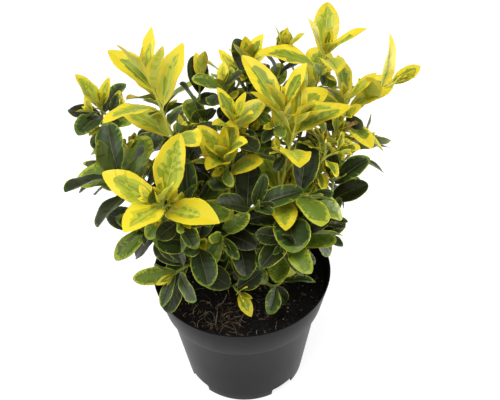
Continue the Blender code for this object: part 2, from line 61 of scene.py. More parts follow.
# %% Place the camera
IMAGE_WIDTH, IMAGE_HEIGHT = 500, 400
FOCAL_PIXELS = 829.64
SENSOR_WIDTH = 36.0
CAMERA_DISTANCE = 0.800
CAMERA_ELEVATION = math.radians(46.28)
CAMERA_ROLL = math.radians(-1.82)
RIM_PIXEL = (235.2, 267.17)
RIM_HEIGHT = 0.1309


def turn_towards(first, second, angle):
    """The first vector turned by the angle towards the second."""
    return first * math.cos(angle) + second * math.sin(angle)


down_and_in = Vector((0, math.cos(CAMERA_ELEVATION), -math.sin(CAMERA_ELEVATION)))
right = Vector((1, 0, 0))
up = right.cross(down_and_in)
eye = Vector((0, 0, RIM_HEIGHT)) - down_and_in * CAMERA_DISTANCE
aside = (RIM_PIXEL[0] - IMAGE_WIDTH / 2) / FOCAL_PIXELS
below = (RIM_PIXEL[1] - IMAGE_HEIGHT / 2) / FOCAL_PIXELS
pitch = math.atan(below)
yaw = math.atan(aside * math.cos(pitch))
ahead = turn_towards(down_and_in, up, pitch)
up = turn_towards(up, -down_and_in, pitch)
spin = Matrix.Rotation(yaw, 3, "Z")
ahead, right, up = spin @ ahead, spin @ right, spin @ up
right, up = turn_towards(right, up, CAMERA_ROLL), turn_towards(up, -right, CAMERA_ROLL)

bpy.ops.object.select_all(action="DESELECT")
bpy.ops.object.camera_add(location=eye)
camera = bpy.context.active_object
camera.name = "photo_camera"
camera.matrix_world = Matrix.Translation(eye) @ Matrix((right, up, -ahead)).transposed().to_4x4()
camera.data.lens = FOCAL_PIXELS * SENSOR_WIDTH / IMAGE_WIDTH
camera.data.sensor_width = SENSOR_WIDTH
bpy.context.scene.camera = camera
print("camera at", tuple(round(c, 3) for c in eye), "lens", round(camera.data.lens, 2))

# %% [markdown]
# ## Paint
#
# Every finish is a small node tree round one Principled shader. The helpers here make the
# shader, and the noise, colours and relief that most finishes need. Colours are written the way
# a picture editor shows them, as six hex digits, and turned into linear values for the shader.


# %% Helpers for finishes
def linear(code):
    """Linear red, green, blue and full opacity from six hex digits."""
    channels = [int(code[i : i + 2], 16) / 255 for i in (0, 2, 4)]
    return [c / 12.92 if c <= 0.04045 else ((c + 0.055) / 1.055) ** 2.4 for c in channels] + [1.0]


def plug(tree, socket, value):
    """Writes a value into an input, or links it where the value is another node's socket."""
    if isinstance(value, bpy.types.NodeSocket):
        tree.links.new(value, socket)
    else:
        socket.default_value = value


def feed(tree, node, **inputs):
    """Fills a node's inputs by name, with an underscore for each space."""
    for name, value in inputs.items():
        plug(tree, node.inputs[name.replace("_", " ")], value)
    return node


def finish(name, code, roughness, specular=0.5):
    """A material with one Principled shader, and its node tree and shader."""
    material = bpy.data.materials.new(name)
    material.use_nodes = True
    material.diffuse_color = linear(code)
    tree = material.node_tree
    shader = tree.nodes["Principled BSDF"]
    feed(tree, shader, Base_Color=linear(code), Roughness=roughness, Specular_IOR_Level=specular)
    return material, tree, shader


def noise_on_object(tree, scale, detail, stretch=(1, 1, 1)):
    """The height of a noise that is fixed to the piece itself."""
    place = tree.nodes.new("ShaderNodeTexCoord").outputs["Object"]
    mapping = feed(tree, tree.nodes.new("ShaderNodeMapping"), Vector=place, Scale=stretch)
    grain = tree.nodes.new("ShaderNodeTexNoise")
    feed(tree, grain, Vector=mapping.outputs["Vector"], Scale=scale, Detail=detail)
    return grain.outputs["Fac"]


def bump(tree, shader, height, strength, distance):
    """Relief from a height socket."""
    relief = tree.nodes.new("ShaderNodeBump")
    feed(tree, relief, Height=height, Strength=strength, Distance=distance)
    feed(tree, shader, Normal=relief.outputs["Normal"])


def tint(tree, shader, height, stops):
    """Patches of colour from a height socket, by a ramp of (position, hex colour) stops."""
    colours = feed(tree, tree.nodes.new("ShaderNodeValToRGB"), Fac=height)
    band = colours.color_ramp
    while len(band.elements) < len(stops):
        band.elements.new(0.5)
    for element, (position, code) in zip(band.elements, stops):
        element.position = position
        element.color = linear(code)
    feed(tree, shader, Base_Color=colours.outputs["Color"])


def grained(name, code, roughness, specular, grain, relief, stops=(), patches=()):
    """A finish with relief, and with patches of colour where it has stops.

    grain and patches are the scale, detail and stretch of a noise, and relief is the strength
    and distance of the bump. Without patches of their own, the stops colour the grain.
    """
    material, tree, shader = finish(name, code, roughness, specular)
    height = noise_on_object(tree, *grain)
    bump(tree, shader, height, *relief)
    if stops:
        tint(tree, shader, noise_on_object(tree, *patches) if patches else height, stops)
    return material


print("paint helpers ready")

# %% [markdown]
# ## Floor and light
#
# The plant stands on a plain pale sweep under soft studio light. Large soft lights are what
# make satin plastic and waxy leaves read well: a small lamp would leave hard white spots. The
# floor glows a little, so that it stays white and lights the pot's sides from below.

# %% Build the studio
FLOOR_SIZE = 12.0
FLOOR_DROP = 0.0005
FLOOR_COLOUR = (0.40, 0.40, 0.40, 1.0)
FLOOR_GLOW = 0.75
SURROUND_STRENGTH = 0.45
WHITE = (1.0, 1.0, 1.0, 1.0)
PLANT_MIDDLE = (0.0, 0.0, 0.2)
PLANT_FOOT = (0.0, 0.0, 0.06)
SOFT_LIGHTS = (
    ("top_light", (-0.30, -0.35, 1.5), PLANT_MIDDLE, 0.9, 20.0),
    ("left_light", (-1.3, 0.15, 0.45), PLANT_MIDDLE, 0.9, 7.0),
    ("right_light", (1.2, 0.20, 0.10), PLANT_FOOT, 1.0, 24.0),
)

for name, place, aim, size, watts in SOFT_LIGHTS:
    bpy.ops.object.select_all(action="DESELECT")
    bpy.ops.object.light_add(type="AREA", location=place)
    light = bpy.context.active_object
    light.name = name
    light.data.shape = "SQUARE"
    light.data.size = size
    light.data.energy = watts
    light.rotation_euler = (Vector(aim) - Vector(place)).to_track_quat("-Z", "Y").to_euler()

bpy.ops.object.select_all(action="DESELECT")
bpy.ops.mesh.primitive_plane_add(size=FLOOR_SIZE, location=(0, 0, -FLOOR_DROP))
floor = bpy.context.active_object
floor.name = "floor"
floor_paint, tree, shader = finish("pale_floor", "aaaaaa", 0.9)
feed(tree, shader, Base_Color=FLOOR_COLOUR, Emission_Color=WHITE, Emission_Strength=FLOOR_GLOW)
floor.data.materials.append(floor_paint)

world = bpy.data.worlds.new("studio")
world.use_nodes = True
background = world.node_tree.nodes["Background"]
feed(world.node_tree, background, Color=WHITE, Strength=SURROUND_STRENGTH)
bpy.context.scene.world = world
bpy.context.scene.view_settings.view_transform = "Standard"
print("studio:", len(SOFT_LIGHTS), "soft lights and a pale surround")

# %% [markdown]
# ## The pot's plastic
#
# A nursery pot is thin black polypropylene with a satin skin. It is never one even grey: the
# skin is a little cloudy and carries dust from the potting bench. A broad noise shifts the
# colour, a finer one shifts the roughness, and a very fine one gives the moulded grain.


# %% Mix the plastic
def mix_plastic():
    """Satin dark grey plastic, a little cloudy, with a thin glossy coat."""
    material = grained("nursery_plastic", "161618", 0.42, 0.02, (900.0, 2.0), (0.12, 0.0004),
                       ((0.3, "0f0f11"), (0.7, "161619")), (14.0, 4.0))
    tree = material.node_tree
    skin = noise_on_object(tree, 60.0, 3.0, (1, 1, 0.35))
    sheen = tree.nodes.new("ShaderNodeMapRange")
    feed(tree, sheen, Value=skin, To_Min=0.34, To_Max=0.47)
    feed(tree, tree.nodes["Principled BSDF"], Roughness=sheen.outputs["Result"],
         Coat_Weight=0.23, Coat_Roughness=0.28)
    return material


plastic = mix_plastic()
print("plastic:", plastic.name)

# %% [markdown]
# ## The pot
#
# The real pot is one thin injection-moulded shell: a tapered body, a wider band at the top and
# a ringed foot with four drain notches. A turned shape is quickest to draw as a profile and
# spin about the axis. One point is extruded along the profile, spun, and its edges are rounded
# with a bevel. The notches are cut with four small boxes, as the mould's own slides cut them.

# %% Pot sizes
POT_HEIGHT = 0.131
RIM_RADIUS = 0.085
BAND_HEIGHT = 0.035
BAND_FOOT_RADIUS = 0.0782
SHOULDER_DROP = 0.003
BODY_TOP_RADIUS = 0.0735
BASE_RADIUS = 0.0596
WALL = 0.0018
POT_FLOOR = 0.0025
FLOOR_DISC_RADIUS = 0.046
GUTTER_RISE = 0.005
GUTTER_SLOPE = 0.002
LIP_HEIGHT = 0.0024
LIP_TUCK = 0.0009
WALL_RINGS = (0.0105, 0.0125, 0.045)
EDGE_ROUNDING = 0.00045
ROUNDED_FROM = math.radians(24)
SMOOTH_UP_TO = math.radians(32)
POT_TURN_STEPS = 144
NOTCH_AZIMUTHS = (37, 127, 217, 307)
NOTCH_WIDTH = 0.026
NOTCH_HEIGHT = 0.0085
NOTCH_INNER_RADIUS = 0.051
NOTCH_ROUNDING = 0.0015
BAND_FOOT = POT_HEIGHT - BAND_HEIGHT
SHOULDER = BAND_FOOT - SHOULDER_DROP


def inner_radius(height):
    """The pot's radius inside its wall at this height."""
    if height < SHOULDER:
        share = (height - GUTTER_RISE) / (SHOULDER - GUTTER_RISE)
        return BASE_RADIUS + share * (BODY_TOP_RADIUS - BASE_RADIUS) - WALL
    share = max((height - BAND_FOOT) / BAND_HEIGHT, 0.0)
    return BAND_FOOT_RADIUS + share * (RIM_RADIUS - BAND_FOOT_RADIUS) - WALL


def outer_radius(height):
    """The radius of the body's outside at this height."""
    return BASE_RADIUS + height / SHOULDER * (BODY_TOP_RADIUS - BASE_RADIUS)


POT_PROFILE = (
    (0.0, POT_FLOOR),
    (FLOOR_DISC_RADIUS, POT_FLOOR),
    (FLOOR_DISC_RADIUS + GUTTER_SLOPE, POT_FLOOR + GUTTER_RISE),
    (inner_radius(POT_FLOOR + GUTTER_RISE), POT_FLOOR + GUTTER_RISE),
    *((inner_radius(height), height) for height in WALL_RINGS),
    (BODY_TOP_RADIUS - WALL, SHOULDER + WALL / 2),
    (BAND_FOOT_RADIUS - WALL, BAND_FOOT + WALL / 2),
    (RIM_RADIUS - WALL, POT_HEIGHT),
    (RIM_RADIUS, POT_HEIGHT),
    (BAND_FOOT_RADIUS, BAND_FOOT + LIP_HEIGHT),
    (BAND_FOOT_RADIUS - LIP_TUCK, BAND_FOOT),
    (BODY_TOP_RADIUS, SHOULDER),
    *((outer_radius(height), height) for height in reversed(WALL_RINGS)),
    (BASE_RADIUS, 0.0),
    (BASE_RADIUS - WALL, 0.0),
    (BASE_RADIUS - WALL, GUTTER_RISE),
    (FLOOR_DISC_RADIUS + GUTTER_SLOPE, GUTTER_RISE),
    (FLOOR_DISC_RADIUS, 0.0),
    (0.0, 0.0),
)
print("pot:", 2000 * RIM_RADIUS, "mm wide,", 1000 * POT_HEIGHT, "mm high")


# %% Spin the pot
def compass(azimuth, reach, height=0.0):
    """The place at this azimuth, from the front towards +X, and reach from the axis."""
    turn = math.radians(azimuth)
    return Vector((reach * math.sin(turn), -reach * math.cos(turn), height))


def spun(name, profile, steps):
    """A closed shell: one point extruded along the profile and spun about Z."""
    bpy.ops.object.select_all(action="DESELECT")
    bpy.ops.mesh.primitive_plane_add(size=0.01, location=(0, 0, 0))
    shell = bpy.context.active_object
    shell.name = name
    bpy.ops.object.mode_set(mode="EDIT")
    bpy.ops.mesh.merge(type="CENTER")
    bpy.ops.transform.translate(value=(profile[0][0], 0, profile[0][1]))
    for (radius, height), (wider, higher) in zip(profile, profile[1:]):
        step = (wider - radius, 0, higher - height)
        bpy.ops.mesh.extrude_region_move(TRANSFORM_OT_translate={"value": step})
    bpy.ops.mesh.select_all(action="SELECT")
    bpy.ops.mesh.spin(steps=steps, angle=math.tau, center=(0, 0, 0), axis=(0, 0, 1))
    bpy.ops.mesh.select_all(action="SELECT")
    bpy.ops.mesh.remove_doubles(threshold=1e-5)
    bpy.ops.mesh.normals_make_consistent(inside=False)
    bpy.ops.object.mode_set(mode="OBJECT")
    return shell


def applied(piece, kind, **settings):
    """Adds a modifier to the piece, sets it and applies it."""
    modifier = piece.modifiers.new(kind.lower(), kind)
    for setting, value in settings.items():
        setattr(modifier, setting, value)
    bpy.ops.object.select_all(action="DESELECT")
    piece.select_set(True)
    bpy.context.view_layer.objects.active = piece
    bpy.ops.object.modifier_apply(modifier=modifier.name)
    return piece


def make_pot():
    """The pot shell, rounded and notched."""
    pot = spun("pot_shell", POT_PROFILE, POT_TURN_STEPS)
    applied(pot, "BEVEL", width=EDGE_ROUNDING, segments=3, limit_method="ANGLE",
            angle_limit=ROUNDED_FROM)
    deep = RIM_RADIUS - NOTCH_INNER_RADIUS
    for azimuth in NOTCH_AZIMUTHS:
        bpy.ops.object.select_all(action="DESELECT")
        bpy.ops.mesh.primitive_cube_add(
            size=1.0, scale=(NOTCH_WIDTH, deep, 2 * NOTCH_HEIGHT),
            location=compass(azimuth, NOTCH_INNER_RADIUS + deep / 2),
            rotation=(0, 0, math.radians(azimuth)),
        )
        slide = bpy.context.active_object
        applied(slide, "BEVEL", width=NOTCH_ROUNDING, segments=3)
        applied(pot, "BOOLEAN", operation="DIFFERENCE", object=slide, solver="EXACT")
        bpy.data.objects.remove(slide)
    bpy.ops.object.shade_smooth_by_angle(angle=SMOOTH_UP_TO)
    pot.data.materials.clear()
    pot.data.materials.append(plastic)
    return pot


pot_shell = make_pot()
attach(pot_shell, "root")
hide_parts("pot")
print("pot faces:", len(pot_shell.data.polygons))

# %% [markdown]
# ## The potting mix
#
# The mix is peat: almost black, lumpy at every scale, a little heaped round the stem and sunk
# at the wall. A flat disc would look like paint. The solid starts as a cone inside the pot's
# wall, is extruded up to ground level, and its top is inset ring by ring, so that there are
# enough points to lift and sink with layered noise.

# %% Sizes and finish of the mix
GROUND = 0.120
EDGE_DROP = 0.003
SOIL_CLEARANCE = 0.0004
SOIL_SIDES = 150
SOIL_RINGS = 46
LUMP_HEIGHT = 0.0015
LUMP_SCALE = 70
CRUMB_HEIGHT = 0.0006
CRUMB_SCALE = 330
SOIL_SMOOTH_UP_TO = math.radians(50)
SOIL_RADIUS = inner_radius(GROUND) - SOIL_CLEARANCE
SOIL_LEVELS = (
    (SHOULDER, BODY_TOP_RADIUS - WALL - SOIL_CLEARANCE),
    (BAND_FOOT + 0.002, BAND_FOOT_RADIUS - WALL - SOIL_CLEARANCE),
    (GROUND - EDGE_DROP, inner_radius(GROUND - EDGE_DROP) - SOIL_CLEARANCE),
)


def ground_height(x, y):
    """The lumpy level of the mix at a place."""
    level = GROUND - EDGE_DROP * (math.hypot(x, y) / SOIL_RADIUS) ** 3
    lumps = noise.fractal(Vector((x * LUMP_SCALE, y * LUMP_SCALE, 1.7)), 0.8, 2.1, 4)
    crumbs = noise.fractal(Vector((x * CRUMB_SCALE, y * CRUMB_SCALE, 8.1)), 0.7, 2.2, 3)
    return level + LUMP_HEIGHT * (lumps - 0.25) + CRUMB_HEIGHT * crumbs


# Damp peat is near black, browner in patches and quite matt.
peat = grained("peat", "1a1512", 0.95, 0.25, (700.0, 4.0), (0.9, 0.001),
               ((0.35, "0a0908"), (0.55, "12100e"), (0.75, "221a15")), (90.0, 6.0))


# %% Shape the mix
def select_top(piece, above):
    """Selects only the faces that look up and lie above a height. Leaves edit mode open."""
    bpy.ops.object.mode_set(mode="EDIT")
    bpy.ops.mesh.select_all(action="DESELECT")
    bpy.ops.object.mode_set(mode="OBJECT")
    for face in piece.data.polygons:
        face.select = face.normal.z > 0.9 and face.center.z > above
    bpy.ops.object.mode_set(mode="EDIT")
    bpy.ops.mesh.select_mode(type="FACE")


def make_soil():
    """The mix as one closed solid with a lumpy top."""
    foot = POT_FLOOR + GUTTER_RISE + SOIL_CLEARANCE
    bpy.ops.object.select_all(action="DESELECT")
    bpy.ops.mesh.primitive_cone_add(
        vertices=SOIL_SIDES, end_fill_type="NGON", depth=SHOULDER - foot,
        radius1=inner_radius(foot) - SOIL_CLEARANCE, radius2=SOIL_LEVELS[0][1],
        location=(0, 0, (SHOULDER + foot) / 2),
    )
    soil = bpy.context.active_object
    soil.name = "potting_mix"
    bpy.ops.object.transform_apply(location=True)
    select_top(soil, SHOULDER - 0.001)
    for (low, radius), (high, wider) in zip(SOIL_LEVELS, SOIL_LEVELS[1:]):
        bpy.ops.mesh.extrude_region_move(TRANSFORM_OT_translate={"value": (0, 0, high - low)})
        bpy.ops.transform.resize(value=(wider / radius, wider / radius, 1))
    for _ in range(SOIL_RINGS):
        bpy.ops.mesh.inset(thickness=wider / (SOIL_RINGS + 1.5), depth=0)
    bpy.ops.object.mode_set(mode="OBJECT")
    for corner in soil.data.vertices:
        x, y, z = corner.co
        if z > GROUND - EDGE_DROP - 0.0005:
            corner.co.z = ground_height(x, y)
    bpy.ops.object.shade_smooth_by_angle(angle=SOIL_SMOOTH_UP_TO)
    soil.data.materials.append(peat)
    return soil


potting_mix = make_soil()
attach(potting_mix, "root")
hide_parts("potting_soil")
print("mix faces:", len(potting_mix.data.polygons))

# %% [markdown]
# ## Crumbs, chips and fibres
#
# Seen close, peat is crumbs, splinters of bark and tangled brown fibres, with a few pale grains.
# They are far too many to place by hand. One crumb is modelled as a small ball, and a joined
# copy of it is made from arrays at seeded places, squashed and turned each time. The fibres are
# short curves, which Blender gives their thickness. They lie thickest at the front left.

# %% Finishes of the small bits
BIT_KINDS = (
    ("crumb", 1500, (0.0005, 0.0017), (1.0, 0.8, 0.7), 0.95, "0c0a09 14110f 1f1a16 342a22"),
    ("chip", 90, (0.0014, 0.0042), (1.0, 0.35, 0.16), 0.8, "57463a 6e5a48 3a2f27"),
    ("grain", 60, (0.0004, 0.0009), (1.0, 0.9, 0.8), 0.7, "c9b98f a89468"),
)
FIBRE_COLOURS = "64513f a08c76 3d3026"


def bit_finishes(kind, codes, roughness):
    """Matt finishes for small bits, one for each colour, with a little grit."""
    return [
        grained(f"{kind}_{number}", code, roughness, 0.3, (1200.0, 2.0), (0.4, 0.0004))
        for number, code in enumerate(codes.split(), 1)
    ]


def new_piece(name, points, faces, materials, indices, smooth=True):
    """A mesh object from arrays, with a material number for each face."""
    mesh = bpy.data.meshes.new(name)
    mesh.from_pydata(points, [], faces)
    for material in materials:
        mesh.materials.append(material)
    mesh.polygons.foreach_set("material_index", indices)
    mesh.polygons.foreach_set("use_smooth", [smooth] * len(faces))
    mesh.update()
    piece = bpy.data.objects.new(name, mesh)
    bpy.context.scene.collection.objects.link(piece)
    return piece


def ball_arrays():
    """The corners and faces of a small ball primitive."""
    bpy.ops.object.select_all(action="DESELECT")
    bpy.ops.mesh.primitive_ico_sphere_add(subdivisions=1, radius=1.0)
    ball = bpy.context.active_object
    corners = np.array([tuple(v.co) for v in ball.data.vertices])
    faces = np.array([tuple(p.vertices) for p in ball.data.polygons])
    bpy.data.objects.remove(ball)
    return corners, faces


# %% Scatter the crumbs, chips and grains
SOIL_BITS_SEED = 41
SCATTER_SHARE = 0.96
BIT_ROUGH = 0.3
BIT_TILT = 0.5
BIT_SINK = 0.3
THICK_SHARE = 0.6
THICK_SPREAD = (0.017, 0.012)


def kept_inside(x, y, share):
    """A place pulled in until it lies within this share of the mix's radius."""
    pull = min(1.0, share * SOIL_RADIUS / max(math.hypot(x, y), 1e-6))
    return x * pull, y * pull


def scattered_spot(dice, thick_spot=None):
    """A place on the mix, anywhere or near one spot."""
    if thick_spot and dice.random() < THICK_SHARE:
        x, y = (dice.gauss(spot, wide) for spot, wide in zip(thick_spot, THICK_SPREAD))
    else:
        turn, reach = dice.uniform(0, math.tau), SOIL_RADIUS * math.sqrt(dice.random())
        x, y = reach * math.cos(turn), reach * math.sin(turn)
    return kept_inside(x, y, SCATTER_SHARE)


def make_bits():
    """All crumbs, chips and grains as one joined piece."""
    dice = random.Random(SOIL_BITS_SEED)
    corners, faces = ball_arrays()
    points, all_faces, materials, indices = [], [], [], []
    for kind, count, sizes, squash, roughness, codes in BIT_KINDS:
        first = len(materials)
        materials += bit_finishes(kind, codes, roughness)
        for _ in range(count):
            x, y = scattered_spot(dice)
            size = dice.uniform(*sizes)
            rough = [[1 + dice.uniform(-BIT_ROUGH, BIT_ROUGH)] for _ in corners]
            shape = corners * np.array(rough) * np.array(squash) * size
            turn = Matrix.Rotation(dice.uniform(0, math.tau), 3, "Z")
            lie = np.array(turn @ Matrix.Rotation(dice.gauss(0, BIT_TILT), 3, "X"))
            middle = np.array((x, y, ground_height(x, y) + size * squash[2] * BIT_SINK))
            all_faces.extend((faces + len(points) * len(corners)).tolist())
            points.append(shape @ lie.T + middle)
            indices.extend([dice.randrange(first, len(materials))] * len(faces))
    points = np.concatenate(points).tolist()
    return new_piece("mix_bits", points, all_faces, materials, indices, False)


mix_bits = make_bits()
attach(mix_bits, "root")
print("bit faces:", len(mix_bits.data.polygons))

# %% Lay the fibres
FIBRE_COUNT = 170
FIBRE_SEED = 7
THICK_SPOT = (-0.012, -0.056)
FIBRE_KNOTS = 6
FIBRE_LENGTH = (0.005, 0.020)
FIBRE_BOW = 0.55
FIBRE_ARCH = (0.0003, 0.0025)
FIBRE_THICKNESS = (0.00010, 0.00028)
FIBRE_LIFT = 0.0002
FIBRE_SHARE = 0.97


def curve_piece(name, runs, bevel_resolution, materials):
    """Several tubes as one mesh piece. A run is its points, their radii and a material number."""
    bpy.ops.object.select_all(action="DESELECT")
    curve = bpy.data.curves.new(name, "CURVE")
    curve.dimensions = "3D"
    curve.bevel_depth = 1.0
    curve.bevel_resolution = bevel_resolution
    curve.use_fill_caps = True
    for material in materials:
        curve.materials.append(material)
    for points, radii, number in runs:
        spline = curve.splines.new("POLY")
        spline.points.add(len(points) - 1)
        spline.material_index = number
        spline.use_smooth = True
        for knot, point, radius in zip(spline.points, points, radii):
            knot.co = (*point, 1.0)
            knot.radius = radius
    piece = bpy.data.objects.new(name, curve)
    bpy.context.scene.collection.objects.link(piece)
    piece.select_set(True)
    bpy.context.view_layer.objects.active = piece
    bpy.ops.object.convert(target="MESH")
    piece = bpy.context.active_object
    bpy.ops.object.mode_set(mode="EDIT")
    bpy.ops.mesh.select_all(action="SELECT")
    bpy.ops.mesh.remove_doubles(threshold=1e-6)
    bpy.ops.object.mode_set(mode="OBJECT")
    return piece


def make_fibres():
    """Thin brown strands that lie on the mix and curl up from it."""
    dice = random.Random(FIBRE_SEED)
    runs = []
    for _ in range(FIBRE_COUNT):
        x, y = scattered_spot(dice, THICK_SPOT)
        turn, length = dice.uniform(0, math.tau), dice.uniform(*FIBRE_LENGTH)
        bow, arch = dice.gauss(0, FIBRE_BOW), dice.uniform(*FIBRE_ARCH)
        points = []
        for step in range(FIBRE_KNOTS):
            share = step / (FIBRE_KNOTS - 1)
            heading, off = turn + bow * (share - 0.5), length * (share - 0.5)
            far_x, far_y = x + math.cos(heading) * off, y + math.sin(heading) * off
            spot = kept_inside(far_x, far_y, FIBRE_SHARE)
            lift = arch * math.sin(math.pi * share) + FIBRE_LIFT
            points.append((*spot, ground_height(*spot) + lift))
        thick = dice.uniform(*FIBRE_THICKNESS)
        runs.append((points, [thick] * (FIBRE_KNOTS - 1) + [thick / 2], dice.randrange(3)))
    return curve_piece("mix_fibres", runs, 0, bit_finishes("fibre", FIBRE_COLOURS, 0.75))


mix_fibres = make_fibres()
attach(mix_fibres, "root")
print("fibre faces:", len(mix_fibres.data.polygons))

# %% [markdown]
# ## How the shrub grows
#
# A wintercreeper sends up shoots from a short stem. A shoot carries its leaves in opposite
# pairs, each pair turned a quarter against the last. The young pairs at the tip stand up and
# are golden, and the old ones lower down spread flat and are almost black. The table below
# names each main shoot by where its tip stands. The rule is the one that made the solids, with
# the same seeds, so every leaf here lies where its solid lies.

# %% The table of shoots
@dataclass
class Shoot:
    """A leafy shoot, whose tip stands at azimuth, reach and height above the ground.

    Azimuths are degrees from the front towards +X. lean is the tip's angle off plumb, towards
    heading. leaf is its longest leaf, pairs its leaf pairs and gold how many of them are young
    and golden. roll turns its top pair, spread opens the pairs, stretch lengthens the
    internodes and wide broadens the leaves. seed picks its dice. It leaves the main stem, or
    the shoot that it is a side of, at the share at of that limb's length. fallen lists the
    places, two to a pair, where the leaf has dropped.
    """

    name: str
    azimuth: float
    reach: float
    height: float
    lean: float
    heading: float
    leaf: float
    pairs: int = 6
    gold: int = 3
    roll: float = 0.0
    spread: float = 1.0
    stretch: float = 1.0
    wide: float = 1.1
    seed: int = 0
    at: float = 0.5
    sides: tuple = ()
    fallen: tuple = ()


MASSES = (
    Shoot("left_tall", -79, 0.067, 0.240, 25, -131, 0.058, 7, 5, 140, 0.70, 1.23, 0.92, at=0.93),
    Shoot("front_left", -36, 0.100, 0.173, 17, -2, 0.059, 4, 4, 56, 0.81, 0.79, 0.98, 34,
          at=0.74, fallen=(2,)),
    Shoot("right_inner", 70, 0.052, 0.194, 23, 130, 0.060, 7, 6, 5, 0.95, 1.00, 0.90, at=0.95,
          sides=(
        Shoot("upper", 74, 0.040, 0.204, 23, 22, 0.060, 4, 4, 137, 0.92, 0.98, 0.90,
              at=0.35, fallen=(7,)),
    )),
    Shoot("back_right_tall", 123, 0.093, 0.215, 14, 34, 0.060, 7, 5, 86, 1.00, 0.76, 0.95,
          at=0.82),
    Shoot("right_far", 110, 0.150, 0.182, 65, 101, 0.052, 6, 5, 138, 0.72, 1.53, 1.02, 12,
          at=0.62, fallen=(2, 4), sides=(
        Shoot("inner", 107, 0.100, 0.181, 20, -34, 0.048, 5, 5, 111, 0.94, 0.60, 0.91,
              at=0.05, fallen=(2, 4)),
    )),
    Shoot("centre", -16, 0.035, 0.176, 18, -20, 0.044, 7, 5, 154, 0.45, 0.75, 1.00, 34, at=0.90,
          sides=(
        Shoot("upper", -1, 0.021, 0.201, 20, 10, 0.035, 5, 4, 133, 0.65, 0.87, 1.05,
              at=0.25, fallen=(8,)),
    )),
    Shoot("left_far", -108, 0.120, 0.180, 12, 60, 0.039, 7, 3, 149, 0.81, 0.72, 1.12, 20,
          at=0.66, fallen=(4, 10, 12)),
    Shoot("back_centre", 170, 0.073, 0.195, 2, 80, 0.037, 7, 3, 27, 0.42, 1.05, 1.28, 17,
          at=0.86, sides=(
        Shoot("inner", -169, 0.048, 0.190, 22, 145, 0.029, 6, 2, 164, 0.93, 0.86, 1.35, at=0.10),
        Shoot("upper", 148, 0.079, 0.210, 13, -91, 0.032, 6, 3, 176, 0.37, 1.06, 1.05, at=0.20),
    )),
    Shoot("back_left", -153, 0.064, 0.191, 30, 167, 0.038, 7, 2, 27, 0.32, 1.00, 1.21, 57,
          at=0.80, fallen=(5, 6)),
    Shoot("left_mid", -82, 0.103, 0.146, 39, -105, 0.055, 6, 0, 64, 0.76, 0.50, 1.28, 16,
          at=0.50, fallen=(2, 10)),
    Shoot("left_low", -66, 0.086, 0.102, 65, -25, 0.045, 6, 0, 22, 1.03, 0.67, 1.06, 26, at=0.26),
    Shoot("left_inner", -45, 0.062, 0.134, 35, -30, 0.046, 7, 0, 65, 0.95, 0.80, at=0.57),
    Shoot("front_rim", -39, 0.090, 0.080, 88, -39, 0.044, 5, 1, 114, 1.10, 0.68, 1.00, at=0.33),
    Shoot("front", -12, 0.069, 0.114, 90, 10, 0.041, 5, 0, 63, 0.83, 1.67, 1.01, 19, at=0.43,
          sides=(
        Shoot("upper", 14, 0.055, 0.137, 50, 40, 0.047, 6, 0, 20, 1.00, 0.90, at=0.05),
    )),
    Shoot("front_right", 30, 0.073, 0.105, 81, -23, 0.043, 5, 0, 123, 0.83, 1.17, 1.04, 55,
          at=0.38, fallen=(2,), sides=(
        Shoot("upper", 53, 0.072, 0.138, 95, 83, 0.051, 6, 0, 98, 0.98, 0.83, 1.28,
              at=0.05, fallen=(2, 3, 8)),
    )),
    Shoot("right_low", 65, 0.073, 0.088, 86, 115, 0.042, 5, 0, 92, 0.73, 1.45, 1.02, 29,
          at=0.28, fallen=(2,)),
    Shoot("right_mid", 77, 0.082, 0.131, 24, -25, 0.045, 7, 1, 21, 0.75, 0.93, 1.12, 47,
          at=0.46, fallen=(6,)),
    Shoot("right_curly", 82, 0.076, 0.169, 22, 74, 0.027, 8, 6, 167, 1.07, 1.28, 1.00, 13,
          at=0.72, fallen=(3, 10), sides=(
        Shoot("outer", 95, 0.087, 0.163, 28, 79, 0.027, 6, 6, 91, 0.96, 0.85, at=0.30),
        Shoot("facing", 76, 0.087, 0.164, 84, 86, 0.027, 6, 4, 26, 1.01, 1.26, 1.00, at=0.15),
    )),
    Shoot("sprig_front", -3, 0.057, 0.038, 80, 33, 0.034, 4, 2, 62, 1.24, 1.17, 1.21, 56,
          at=0.13, fallen=(4, 6)),
    Shoot("sprig_right", 43, 0.056, 0.040, 59, 148, 0.032, 5, 2, 168, 1.03, 1.02, 1.10, 5,
          at=0.20),
    Shoot("rear_high", 180, 0.100, 0.167, 25, 180, 0.046, 7, 3, 30, 0.95, 0.90, at=0.64),
    Shoot("rear_left", -139, 0.113, 0.157, 35, -139, 0.046, 7, 3, 70, 0.95, 0.90, at=0.54),
    Shoot("rear_right", 146, 0.126, 0.142, 45, 146, 0.046, 7, 2, 10, 0.95, 0.90, at=0.52),
    Shoot("rear_low_left", -156, 0.115, 0.087, 80, -156, 0.042, 6, 0, 50, 1.00, 0.90, at=0.36),
    Shoot("rear_low_right", 153, 0.118, 0.082, 80, 153, 0.042, 6, 0, 20, 1.00, 0.90, at=0.34),
    Shoot("rear_far_right", 117, 0.132, 0.107, 65, 117, 0.044, 6, 1, 75, 1.00, 0.90, at=0.42),
    Shoot("rear_far_left", -112, 0.128, 0.100, 70, -112, 0.044, 6, 0, 15, 1.00, 0.90, at=0.36),
)
print("shoots:", sum(1 + len(shoot.sides) for shoot in MASSES))


